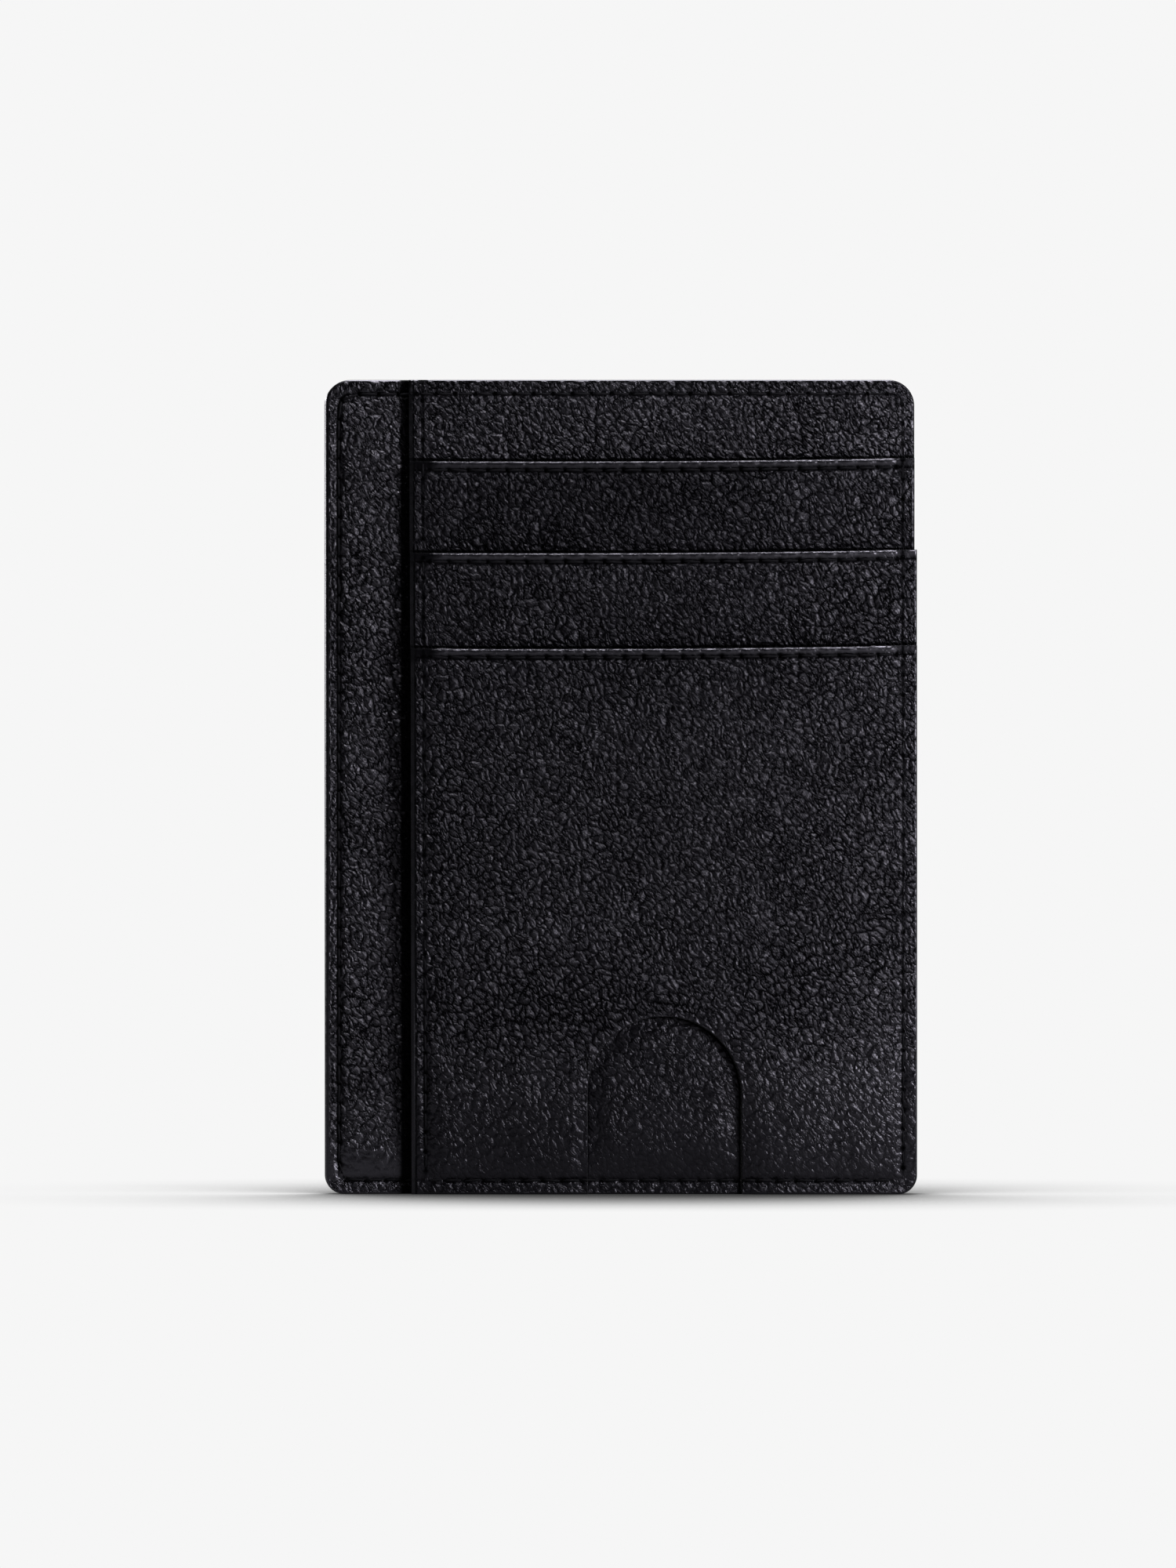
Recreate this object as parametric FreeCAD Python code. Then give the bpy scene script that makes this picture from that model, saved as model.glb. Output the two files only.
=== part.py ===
"""Slim upright card holder in black grained leather, built layer by layer.

Frame: millimetres, +Z up, origin at the middle of the bottom edge. X runs across the
width, the front faces -Y and the back faces +Y. The holder stands on its bottom edge.

Construction, from the back to the front:
  back half    cover leather, fibre stiffener, then the leather side strip and a lining
  cash pocket  a flat gap between the two halves, sewn on three sides, open at the left
  front half   lining, header panel, two shingled slot panels and the full front pocket,
               whose lower edge has a thumb notch that shows a leather facing behind it

A depth is measured from the outside of the back towards the front. A height is z.
Every sheet is drawn as a side profile of (height, depth) points and swept along X.
"""
import FreeCAD, Part
import math
import os

from FreeCAD import Vector

# ---------------------------------------------------------------- driving dimensions
WIDTH = 80.0                # overall, side to side
HEIGHT = 110.0              # overall, bottom edge to top edge
TOP_RADIUS = 3.4            # upper two outer corners
BOTTOM_RADIUS = 2.6         # lower two outer corners
STRIP_SHOWN = 11.6          # side strip left showing beside the front half
TRIM_RIGHT = 0.3            # how far the upper layers stop short of the right side
CLOTH_INSET = 0.35          # how far linings and board stop short of the leather's edges

COVER_LEATHER = 1.0         # back cover and front pocket
SLOT_LEATHER = 0.85         # header and slot panels
FACING_LEATHER = 0.7        # facing seen through the thumb notch
STRIP_LEATHER = 0.6         # side strip
BOARD = 0.3                 # stiffener
POCKET_CLOTH = 0.25         # linings of the cash pocket
SLOT_CLOTH = 0.2            # linings of the card pockets

HEADER_BOTTOM = 94.0        # lower end of the header leather
SLOT_EDGES = (98.9, 86.5, 73.6)     # mouths: top slot, middle slot, front pocket
PANEL_ENDS = (82.0, 69.5)           # lower ends of the two slot leathers
LINING_DROP = 1.5           # a slot's lining stops this far under its folded edge
TOP_SLOT_FLOOR = 22.0       # lower ends of the two slot linings: a card rests just above
MIDDLE_SLOT_FLOOR = 8.0
FACING_TOP = 34.0           # upper end of the notch facing

CARD_GAP = 0.25             # free depth of an empty card pocket
TURNED_EDGE = 4.0           # width of a lining's turned-in edge
FLOOR_SEAM = 2.0            # seam across a slot lining, above its lower end
TOUCH = 0.02                # clearance where one sheet lies over another's end

NOTCH_WIDTH = 20.8
NOTCH_HEIGHT = 24.0

THREAD_RADIUS = 0.2
FINE_THREAD_RADIUS = 0.1
STITCH_PITCH = 3.0
STITCH_GAP = 0.5            # leather showing between two stitches
SEAM_INSET = 1.9            # perimeter seam, from the outer edge
SEAM_CORNER = 1.5           # the seam's one diagonal stitch at a corner
HEM_INSET = 1.7             # seam along the front half's free left edge
EDGE_SEAM_DROP = 1.3        # seam under a slot's folded edge
GROOVE_HALF = 0.26          # seam channel, half its width
GROOVE_DEPTH = 0.47
SUNK = GROOVE_DEPTH - THREAD_RADIUS - 0.02      # a stitch's axis, under the leather's face
STRIP_HIDDEN = 5.4          # side strip under the front half

# ---------------------------------------------------------------- worked-out places
LEFT = -WIDTH / 2
RIGHT = WIDTH / 2
STACK_LEFT = LEFT + STRIP_SHOWN             # free left edge of the front half
STRIP_RIGHT = STACK_LEFT + STRIP_HIDDEN
NOTCH_X = (STACK_LEFT + RIGHT) / 2
HEM_X = STACK_LEFT + HEM_INSET
CLOTH_LEFT = STACK_LEFT + CLOTH_INSET

BOARD_DEPTH = COVER_LEATHER
INNER_DEPTH = BOARD_DEPTH + BOARD           # side strip and back lining start here
FRONT_DEPTH = INNER_DEPTH + STRIP_LEATHER + TOUCH
BASE = FRONT_DEPTH + POCKET_CLOTH           # the card pockets build up from here
AIR = 2.0                                   # overshoot of a cutting tool


def depth_at(profile, z):
    """Depth of a profile at a height, going straight on past its two ends."""
    for (z0, d0), (z1, d1) in zip(profile, profile[1:]):
        if z <= z1:
            break
    return d0 + (d1 - d0) * (z - z0) / (z1 - z0)


def moved(profile, step):
    """The same profile, step nearer to the front."""
    return [(z, d + step) for z, d in profile]


def cropped(profile, low, high):
    """The stretch of a profile between two heights."""
    inside = [(z, d) for z, d in profile if low < z < high]
    return [(low, depth_at(profile, low)), *inside, (high, depth_at(profile, high))]


# ---------------------------------------------------------------- side profiles
# Each list is the back surface of a sheet, from its lower end to its upper end.
HEADER_LINING = [(0.0, BASE), (HEADER_BOTTOM, BASE)]
HEADER = [(HEADER_BOTTOM, BASE), (HEIGHT, BASE)]
HEADER_FRONT = BASE + SLOT_LEATHER
CLOTH_FRONT = BASE + SLOT_CLOTH


def shingled(lean, over, cloth_depth, edge):
    """Upper back of a slot lining: upright up to lean, then leaning over the end of the
    panel behind it, whose front is over = (height, depth)."""
    slope = (over[1] - cloth_depth) / (over[0] - lean)
    top = edge - LINING_DROP
    return [(lean, cloth_depth), over, (top, over[1] + slope * (top - over[0]))]


TOP_CLOTH = CLOTH_FRONT + CARD_GAP
TOP_LINING = [(TOP_SLOT_FLOOR, TOP_CLOTH),
              *shingled(PANEL_ENDS[0], (HEADER_BOTTOM, HEADER_FRONT + TOUCH), TOP_CLOTH,
                        SLOT_EDGES[0])]
TOP_PANEL = cropped(moved(TOP_LINING, SLOT_CLOTH), PANEL_ENDS[0], SLOT_EDGES[0])
TOP_FRONT = moved(TOP_PANEL, SLOT_LEATHER)

MIDDLE_CLOTH = TOP_CLOTH + SLOT_CLOTH + CARD_GAP
MIDDLE_LINING = [(MIDDLE_SLOT_FLOOR, CLOTH_FRONT),
                 (MIDDLE_SLOT_FLOOR + TURNED_EDGE, CLOTH_FRONT),
                 (TOP_SLOT_FLOOR, TOP_CLOTH + SLOT_CLOTH + TOUCH),
                 (FACING_TOP, MIDDLE_CLOTH),
                 *shingled(PANEL_ENDS[1], (PANEL_ENDS[0], TOP_FRONT[0][1] + TOUCH), MIDDLE_CLOTH,
                           SLOT_EDGES[1])]
MIDDLE_PANEL = cropped(moved(MIDDLE_LINING, SLOT_CLOTH), PANEL_ENDS[1], SLOT_EDGES[1])
MIDDLE_FRONT = moved(MIDDLE_PANEL, SLOT_LEATHER)

# The facing lies on the middle slot's lining and steps over its floor seam.
FACING = [(0.0, CLOTH_FRONT),
          (MIDDLE_SLOT_FLOOR + FLOOR_SEAM / 2,
           CLOTH_FRONT + SLOT_CLOTH + 2 * FINE_THREAD_RADIUS + TOUCH),
          (TOP_SLOT_FLOOR, depth_at(MIDDLE_LINING, TOP_SLOT_FLOOR) + SLOT_CLOTH + TOUCH),
          (FACING_TOP, MIDDLE_CLOTH + SLOT_CLOTH + TOUCH)]
FACING_FRONT = moved(FACING, FACING_LEATHER)

POCKET_LEVEL = FACING_FRONT[-1][1] + CARD_GAP
POCKET_LEAN = 0.05          # how fast the pocket's mouth leans forward, per mm of height
POCKET_GATHER = 0.15        # free depth just above the bottom seam
POCKET_LINING = [FACING_FRONT[0],
                 (FACING_FRONT[1][0], FACING_FRONT[1][1] + POCKET_GATHER),
                 (FACING_FRONT[2][0], FACING_FRONT[2][1] + CARD_GAP),
                 (FACING_TOP, POCKET_LEVEL),
                 (PANEL_ENDS[1], POCKET_LEVEL),
                 (SLOT_EDGES[2] - LINING_DROP,
                  POCKET_LEVEL + POCKET_LEAN * (SLOT_EDGES[2] - LINING_DROP - PANEL_ENDS[1]))]
POCKET_PANEL = cropped(moved(POCKET_LINING, SLOT_CLOTH), 0.0, SLOT_EDGES[2])
POCKET_FRONT = moved(POCKET_PANEL, COVER_LEATHER)

THICKNESS = POCKET_FRONT[-1][1]             # the deepest point is the front pocket's mouth


def place(x, depth, z):
    """A point of the part. The overall thickness is centred on y = 0."""
    return Vector(x, THICKNESS / 2 - depth, z)


# ---------------------------------------------------------------- solids
def slab(back, front, x0, x1, rolled=False):
    """Solid between two profiles, from x0 to x1. A rolled top end is a full round."""
    low = [place(x0, d, z) for z, d in back]
    high = [place(x0, d, z) for z, d in front]
    half = (front[-1][1] - back[-1][1]) / 2
    if rolled:
        low[-1] = low[-1] - Vector(0, 0, half)
        high[-1] = high[-1] - Vector(0, 0, half)
        crown = place(x0, back[-1][1] + half, back[-1][0])
        top = Part.Arc(low[-1], crown, high[-1]).toShape()
    else:
        top = Part.makeLine(low[-1], high[-1])
    edges = [Part.makeLine(a, b) for a, b in zip(low, low[1:])]
    edges.append(top)
    edges += [Part.makeLine(a, b) for a, b in zip(high[::-1], high[-2::-1])]
    if not high[0].isEqual(low[0], 1e-6):
        edges.append(Part.makeLine(high[0], low[0]))
    return Part.Face(Part.Wire(edges)).extrude(Vector(x1 - x0, 0, 0))


def sheet(profile, thickness, x0, x1, rolled=False):
    return slab(profile, moved(profile, thickness), x0, x1, rolled)


def flat(depth, thickness, x0, x1, z0=0.0, z1=HEIGHT):
    return sheet([(z0, depth), (z1, depth)], thickness, x0, x1)


def prism(points, low=-AIR, high=THICKNESS + AIR):
    """A closed outline of (x, z) points, cut straight through from depth low to high."""
    corners = [place(x, low, z) for x, z in points]
    wire = Part.makePolygon([*corners, corners[0]])
    return Part.Face(wire).extrude(Vector(0, low - high, 0))


def outline(right, inset=0.0):
    """The holder's rounded outline as a prism that trims every layer."""
    block = Part.makeBox(right - LEFT - 2 * inset, THICKNESS + 2 * AIR, HEIGHT - 2 * inset,
                         Vector(LEFT + inset, -THICKNESS / 2 - AIR, inset))
    for z, radius in ((inset, BOTTOM_RADIUS - inset), (HEIGHT - inset, TOP_RADIUS - inset)):
        corners = [e for e in block.Edges
                   if all(abs(v.Z - z) < TOUCH for v in e.Vertexes)
                   and abs(e.Vertexes[0].X - e.Vertexes[-1].X) < TOUCH]
        block = block.makeFillet(radius, corners)
    return block


def notch():
    """The thumb notch: straight legs under a half round, open at the bottom edge."""
    r = NOTCH_WIDTH / 2
    centre = NOTCH_HEIGHT - r
    legs = prism([(NOTCH_X - r, -AIR), (NOTCH_X + r, -AIR),
                  (NOTCH_X + r, centre), (NOTCH_X - r, centre)])
    crown = Part.makeCylinder(r, THICKNESS + 2 * AIR, place(NOTCH_X, -AIR, centre),
                              Vector(0, -1, 0))
    return legs.fuse(crown)


def octagon(inset, corner):
    """The perimeter seam's path: a rectangle with its corners cut off."""
    x0, x1, z0, z1 = LEFT + inset, RIGHT - inset, inset, HEIGHT - inset
    return [(x0 + corner, z0), (x1 - corner, z0), (x1, z0 + corner), (x1, z1 - corner),
            (x1 - corner, z1), (x0 + corner, z1), (x0, z1 - corner), (x0, z0 + corner)]


def perimeter_channel():
    """A channel along the perimeter seam, through the whole thickness."""
    growth = GROOVE_HALF * (2 - math.sqrt(2))
    outer = prism(octagon(SEAM_INSET - GROOVE_HALF, SEAM_CORNER + growth))
    inner = prism(octagon(SEAM_INSET + GROOVE_HALF, SEAM_CORNER - growth))
    return outer.cut(inner)


def row_channel(z):
    """A channel along a level seam across the front half."""
    return prism([(HEM_X, z - GROOVE_HALF), (RIGHT - SEAM_INSET, z - GROOVE_HALF),
                  (RIGHT - SEAM_INSET, z + GROOVE_HALF), (HEM_X, z + GROOVE_HALF)])


def column_channel(x):
    """A channel along an upright seam."""
    return prism([(x - GROOVE_HALF, SEAM_INSET), (x + GROOVE_HALF, SEAM_INSET),
                  (x + GROOVE_HALF, HEIGHT - SEAM_INSET), (x - GROOVE_HALF, HEIGHT - SEAM_INSET)])


def grooved(solid, front, channels, depth=GROOVE_DEPTH):
    """Cuts seam channels into a panel's front, the same depth all along its profile."""
    skin = slab(moved(front, -depth), moved(front, AIR), LEFT - AIR, RIGHT + AIR)
    for channel in channels:
        solid = solid.cut(channel.common(skin))
    return solid


# ---------------------------------------------------------------- stitches
def stitch(start, end, radius):
    """One stitch: a round-ended bar of thread from start to end."""
    along = end - start
    length = along.Length
    r = radius
    profile = Part.Wire([
        Part.Arc(Vector(0, 0, 0), Vector(r * math.sqrt(0.5), 0, r - r * math.sqrt(0.5)),
                 Vector(r, 0, r)).toShape(),
        Part.makeLine(Vector(r, 0, r), Vector(r, 0, length - r)),
        Part.Arc(Vector(r, 0, length - r),
                 Vector(r * math.sqrt(0.5), 0, length - r + r * math.sqrt(0.5)),
                 Vector(0, 0, length)).toShape(),
        Part.makeLine(Vector(0, 0, length), Vector(0, 0, 0)),
    ])
    bar = Part.Face(profile).revolve(Vector(0, 0, 0), Vector(0, 0, 1), 360)
    bar.Placement = FreeCAD.Placement(start, FreeCAD.Rotation(Vector(0, 0, 1), along))
    return bar


def run(a, b, depth_of, radius=THREAD_RADIUS, sunk=SUNK):
    """Evenly spaced stitches along the straight seam from (x, z) a to b, each sunk under
    the surface whose depth at (x, z) is depth_of(x, z)."""
    length = math.dist(a, b)
    count = max(1, round(length / STITCH_PITCH))
    made = []
    for i in range(count):
        ends = []
        for s in (i / count + STITCH_GAP / 2 / length, (i + 1) / count - STITCH_GAP / 2 / length):
            x = a[0] + (b[0] - a[0]) * s
            z = a[1] + (b[1] - a[1]) * s
            ends.append(place(x, depth_of(x, z) - sunk, z))
        made.append(stitch(ends[0], ends[1], radius))
    return made


def on(profile):
    """Depth lookup on a panel's front profile."""
    return lambda x, z: depth_at(profile, z)


STRIP_FRONT = [(0.0, INNER_DEPTH + STRIP_LEATHER), (HEIGHT, INNER_DEPTH + STRIP_LEATHER)]
HEADER_FACE = moved(HEADER, SLOT_LEATHER)

# Front panels from the top down: face profile, lower limit and upper limit of its seams.
FACES = [(HEADER_FACE, SLOT_EDGES[0], HEIGHT - SEAM_INSET - SEAM_CORNER),
         (TOP_FRONT, SLOT_EDGES[1], SLOT_EDGES[0]),
         (MIDDLE_FRONT, SLOT_EDGES[2], SLOT_EDGES[1]),
         (POCKET_FRONT, SEAM_INSET + SEAM_CORNER, SLOT_EDGES[2])]


def perimeter_front():
    """Needle thread of the perimeter seam, panel by panel round the front."""
    corner = octagon(SEAM_INSET, SEAM_CORNER)
    low, high = SEAM_INSET, HEIGHT - SEAM_INSET
    sides = [STACK_LEFT, NOTCH_X - NOTCH_WIDTH / 2, NOTCH_X + NOTCH_WIDTH / 2]
    made = run(corner[7], corner[6], on(STRIP_FRONT))
    made += run(corner[6], corner[5], on(STRIP_FRONT))
    made += run(corner[5], (STACK_LEFT, high), on(STRIP_FRONT))
    made += run((STACK_LEFT, high), corner[4], on(HEADER_FACE))
    made += run(corner[4], corner[3], on(HEADER_FACE))
    for face, bottom, top in FACES:
        made += run((RIGHT - SEAM_INSET, top), (RIGHT - SEAM_INSET, bottom), on(face))
    made += run(corner[2], corner[1], on(POCKET_FRONT))
    made += run(corner[1], (sides[2], low), on(POCKET_FRONT))
    made += run((sides[2], low), (sides[1], low), on(FACING_FRONT))
    made += run((sides[1], low), (sides[0], low), on(POCKET_FRONT))
    made += run((sides[0], low), corner[0], on(STRIP_FRONT))
    made += run(corner[0], corner[7], on(STRIP_FRONT))
    return made


def perimeter_back():
    """Bobbin thread of the perimeter seam, on the back cover."""
    path = octagon(SEAM_INSET, SEAM_CORNER)
    made = []
    for a, b in zip(path, path[1:] + path[:1]):
        made += run(a, b, lambda x, z: 0.0, sunk=-SUNK)
    return made


def free_edge():
    """Seam along the free left edge of the front half."""
    made = []
    for face, bottom, top in FACES:
        made += run((HEM_X, top), (HEM_X, bottom), on(face))
    return made


def slot_edge(face, edge):
    """Seam under one folded slot edge."""
    z = edge - EDGE_SEAM_DROP
    return run((HEM_X + STITCH_GAP, z), (RIGHT - SEAM_INSET - STITCH_GAP, z), on(face))


# ---------------------------------------------------------------- layers
TRIMMED = outline(RIGHT - TRIM_RIGHT)
FULL = outline(RIGHT)
LINED = outline(RIGHT - TRIM_RIGHT, CLOTH_INSET)
CHANNEL = perimeter_channel()
HEM_CHANNEL = column_channel(HEM_X)


def back_cover():
    groove = CHANNEL.common(prism(octagon(0, SEAM_CORNER), -AIR, GROOVE_DEPTH))
    return flat(0, COVER_LEATHER, LEFT, RIGHT).common(TRIMMED).cut(groove)


def back_stiffener():
    return flat(BOARD_DEPTH, BOARD, LEFT, RIGHT).common(LINED)


def side_strip():
    strip = flat(INNER_DEPTH, STRIP_LEATHER, LEFT, STRIP_RIGHT).common(TRIMMED)
    seam = column_channel(STRIP_RIGHT - HEM_INSET)
    return grooved(strip, STRIP_FRONT, [CHANNEL, seam])


def turned_edges(depth, thickness, x0, x1):
    """The turned-in cloth along a pocket's top, right and bottom."""
    sides = [flat(depth, thickness, x1 - TURNED_EDGE, x1),
             flat(depth, thickness, x0, x1, 0, TURNED_EDGE),
             flat(depth, thickness, x0, x1, HEIGHT - TURNED_EDGE, HEIGHT)]
    return sides[0].multiFuse(sides[1:])


def back_lining():
    cloth = flat(INNER_DEPTH, POCKET_CLOTH, STRIP_RIGHT, RIGHT)
    turned = turned_edges(INNER_DEPTH + POCKET_CLOTH, FRONT_DEPTH - INNER_DEPTH - POCKET_CLOTH,
                          STRIP_RIGHT, RIGHT)
    return cloth.fuse(turned).common(LINED).removeSplitter()


def front_lining():
    return flat(FRONT_DEPTH, POCKET_CLOTH, CLOTH_LEFT, RIGHT).common(LINED)


def header_panel():
    leather = sheet(HEADER, SLOT_LEATHER, STACK_LEFT, RIGHT).common(TRIMMED)
    return grooved(leather, HEADER_FACE, [CHANNEL, HEM_CHANNEL])


def header_lining():
    return sheet(HEADER_LINING, SLOT_CLOTH, CLOTH_LEFT, RIGHT).common(LINED)


def slot_lining(profile, behind):
    """A slot's lining with its two side edges turned in against the sheet behind it. Where
    its lower end stands clear of that sheet, the lower edge is turned in too."""
    cloth = sheet(profile, SLOT_CLOTH, CLOTH_LEFT, RIGHT)
    floor, top = profile[0][0], profile[-2][0]
    parts = []
    if profile[0][1] > depth_at(behind, floor):
        low, high = floor, floor + TURNED_EDGE
        parts.append(slab(cropped(behind, low, high), cropped(profile, low, high),
                          CLOTH_LEFT, RIGHT))
    else:
        floor += TURNED_EDGE
    for x0, x1 in ((CLOTH_LEFT, CLOTH_LEFT + TURNED_EDGE), (RIGHT - TURNED_EDGE, RIGHT)):
        parts.append(slab(cropped(behind, floor, top), cropped(profile, floor, top), x0, x1))
    return cloth.multiFuse(parts).common(LINED).removeSplitter()


def slot_panel(back, front, edge, right):
    leather = slab(back, front, STACK_LEFT, RIGHT, rolled=True).common(right)
    return grooved(leather, front, [CHANNEL, HEM_CHANNEL, row_channel(edge - EDGE_SEAM_DROP)])


def thumb_facing():
    leather = sheet(FACING, FACING_LEATHER, STACK_LEFT, RIGHT).common(TRIMMED)
    return grooved(leather, FACING_FRONT, [CHANNEL, row_channel(FACING_TOP - FLOOR_SEAM)])


def front_pocket_lining():
    cloth = sheet(POCKET_LINING, SLOT_CLOTH, CLOTH_LEFT, RIGHT)
    behind = cropped(moved(MIDDLE_LINING, SLOT_CLOTH), FACING_TOP, PANEL_ENDS[1])
    front = cropped(POCKET_LINING, FACING_TOP, PANEL_ENDS[1])
    parts = []
    for x0, x1 in ((CLOTH_LEFT, CLOTH_LEFT + TURNED_EDGE), (RIGHT - TURNED_EDGE, RIGHT)):
        parts.append(slab(behind, front, x0, x1))
        parts.append(slab(FACING_FRONT, cropped(POCKET_LINING, 0.0, FACING_TOP), x0, x1))
    return cloth.multiFuse(parts).common(LINED).cut(notch()).removeSplitter()


def inner_seam(z, face, radius, sunk):
    """A level seam across the front half, hidden behind the panel in front of it."""
    return run((STACK_LEFT + TURNED_EDGE, z), (RIGHT - TURNED_EDGE, z), on(face), radius, sunk)


def floor_seam(lining):
    """Fine thread across a slot lining, just above its lower end."""
    face = moved(lining, SLOT_CLOTH)
    return inner_seam(lining[0][0] + FLOOR_SEAM, face, FINE_THREAD_RADIUS, -FINE_THREAD_RADIUS)


def strip_seam():
    """Seam that holds the side strip's inner edge to the back lining's edge."""
    x = STRIP_RIGHT - HEM_INSET
    return run((x, SEAM_INSET + STITCH_GAP), (x, HEIGHT - SEAM_INSET - STITCH_GAP), on(STRIP_FRONT))


# What each slot lining is sewn to, behind it: the header's lining, and over that the top
# slot's lining from its own lower end upwards.
HEADER_LINING_FRONT = moved(HEADER_LINING, SLOT_CLOTH)
BEHIND_MIDDLE = [*cropped(HEADER_LINING_FRONT, 0.0, TOP_SLOT_FLOOR),
                 *moved(TOP_LINING, SLOT_CLOTH)]

NODES = {
    "back_cover": back_cover(),
    "back_stiffener": back_stiffener(),
    "side_strip": side_strip(),
    "back_lining": back_lining(),
    "front_lining": front_lining(),
    "header_panel": header_panel(),
    "header_lining": header_lining(),
    "top_slot_panel": slot_panel(TOP_PANEL, TOP_FRONT, SLOT_EDGES[0], TRIMMED),
    "top_slot_lining": slot_lining(TOP_LINING, HEADER_LINING_FRONT),
    "middle_slot_panel": slot_panel(MIDDLE_PANEL, MIDDLE_FRONT, SLOT_EDGES[1], FULL),
    "middle_slot_lining": slot_lining(MIDDLE_LINING, BEHIND_MIDDLE),
    "thumb_facing": thumb_facing(),
    "front_pocket_panel": slot_panel(POCKET_PANEL, POCKET_FRONT, SLOT_EDGES[2], FULL).cut(notch()),
    "front_pocket_lining": front_pocket_lining(),
    "perimeter_stitching_front": Part.makeCompound(perimeter_front()),
    "perimeter_stitching_back": Part.makeCompound(perimeter_back()),
    "free_edge_stitching": Part.makeCompound(free_edge()),
    "top_slot_stitching": Part.makeCompound(slot_edge(TOP_FRONT, SLOT_EDGES[0])),
    "middle_slot_stitching": Part.makeCompound(slot_edge(MIDDLE_FRONT, SLOT_EDGES[1])),
    "front_pocket_stitching": Part.makeCompound(slot_edge(POCKET_FRONT, SLOT_EDGES[2])),
    "top_slot_floor_stitching": Part.makeCompound(floor_seam(TOP_LINING)),
    "middle_slot_floor_stitching": Part.makeCompound(floor_seam(MIDDLE_LINING)),
    "facing_stitching": Part.makeCompound(
        inner_seam(FACING_TOP - FLOOR_SEAM, FACING_FRONT, THREAD_RADIUS, SUNK)),
    "strip_stitching": Part.makeCompound(strip_seam()),
}

os.makedirs("parts", exist_ok=True)
for name, shape in NODES.items():
    shape.exportStep(os.path.join("parts", name + ".step"))
    box = shape.BoundBox
    print(f"{name}: {len(shape.Solids)} solids, volume {shape.Volume:.2f}, valid {shape.isValid()}, "
          f"x {box.XMin:.2f} {box.XMax:.2f} y {box.YMin:.2f} {box.YMax:.2f} z {box.ZMin:.2f} {box.ZMax:.2f}")
print(f"overall thickness {THICKNESS:.3f}")
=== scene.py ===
import math

import bpy
import numpy as np
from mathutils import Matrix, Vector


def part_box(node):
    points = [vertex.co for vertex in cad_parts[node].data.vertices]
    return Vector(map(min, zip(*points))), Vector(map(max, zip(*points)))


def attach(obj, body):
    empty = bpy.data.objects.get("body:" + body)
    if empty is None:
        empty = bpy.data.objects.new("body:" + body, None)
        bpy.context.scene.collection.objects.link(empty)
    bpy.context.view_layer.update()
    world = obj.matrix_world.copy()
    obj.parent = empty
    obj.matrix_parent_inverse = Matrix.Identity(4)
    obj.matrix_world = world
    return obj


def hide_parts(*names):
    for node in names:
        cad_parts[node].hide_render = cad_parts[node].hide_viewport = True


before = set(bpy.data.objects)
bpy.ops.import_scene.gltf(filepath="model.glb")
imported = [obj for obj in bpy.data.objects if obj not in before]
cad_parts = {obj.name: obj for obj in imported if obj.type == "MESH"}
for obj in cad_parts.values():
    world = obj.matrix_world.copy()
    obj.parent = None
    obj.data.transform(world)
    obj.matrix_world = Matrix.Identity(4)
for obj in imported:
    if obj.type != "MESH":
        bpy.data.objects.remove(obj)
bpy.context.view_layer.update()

# Shapes are worked out in millimetres and scaled to metres when a mesh is made. "out" is
# the distance towards the viewer of the front, so out = -y. A height is z. A gap is the
# distance of a place from an edge or a seam.
MM = 0.001


def show(name, data):
    """A new object in the scene with this data."""
    thing = bpy.data.objects.new(name, data)
    bpy.context.scene.collection.objects.link(thing)
    return thing


# ---------------- sizes from the frame
def box_mm(node):
    """Lowest and highest corner of a CAD node, in millimetres."""
    low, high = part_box(node)
    return np.array(low) / MM, np.array(high) / MM


COVER = box_mm("back_cover")
STRIP = box_mm("side_strip")
HEADER = box_mm("header_panel")
TOP = box_mm("top_slot_panel")
MIDDLE = box_mm("middle_slot_panel")
POCKET = box_mm("front_pocket_panel")
FACING = box_mm("thumb_facing")

LEFT = COVER[0][0]
RIGHT = POCKET[1][0]
HEIGHT = COVER[1][2]
STACK_LEFT = POCKET[0][0]
TRIMMED_RIGHT = HEADER[1][0]
TOP_RADIUS = 3.5
BOTTOM_RADIUS = 2.6

NOTCH_X = (STACK_LEFT + RIGHT) / 2
NOTCH_RADIUS = 10.4
NOTCH_CENTRE = 13.6  # height of the half round's centre

SEAM_INSET = 1.9  # of the perimeter seam from the outline
EDGE_SEAM_DROP = 1.2  # of a slot's seam below its edge
HEM_X = STACK_LEFT + 1.75  # top of the seam down the stack's free edge
HEM_SLANT = 0.25  # how far that seam strays to the right going down
FREE_CREASE = 0.6  # of the crease along the free edge from that edge
LEAN = 0.5  # sideways stray of the middle from top to bottom
PITCH = 2.65  # length of a stitch
THREAD_RADIUS = 0.17


# ---------------- noise
def hashed(ix, iz, seed):
    """A number in [0, 1) for each cell of an integer lattice."""
    h = ix.astype(np.int64) * 374761393 + iz.astype(np.int64) * 668265263 + seed * 974711
    h = (h ^ (h >> 13)) * 1274126177 & 0xFFFFFFFF
    h = (h ^ (h >> 16)) * 2246822519 & 0xFFFFFFFF
    return ((h ^ (h >> 15)) & 0xFFFFFF) / float(0x1000000)


def noise(x, z, size, seed):
    """Smooth value noise between -1 and 1, with features about size across."""
    u, v = x / size, z / size
    iu, iv = np.floor(u), np.floor(v)
    fu, fv = u - iu, v - iv
    fu, fv = fu * fu * (3 - 2 * fu), fv * fv * (3 - 2 * fv)
    low = hashed(iu, iv, seed) * (1 - fu) + hashed(iu + 1, iv, seed) * fu
    high = hashed(iu, iv + 1, seed) * (1 - fu) + hashed(iu + 1, iv + 1, seed) * fu
    return 2 * (low * (1 - fv) + high * fv) - 1


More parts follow.
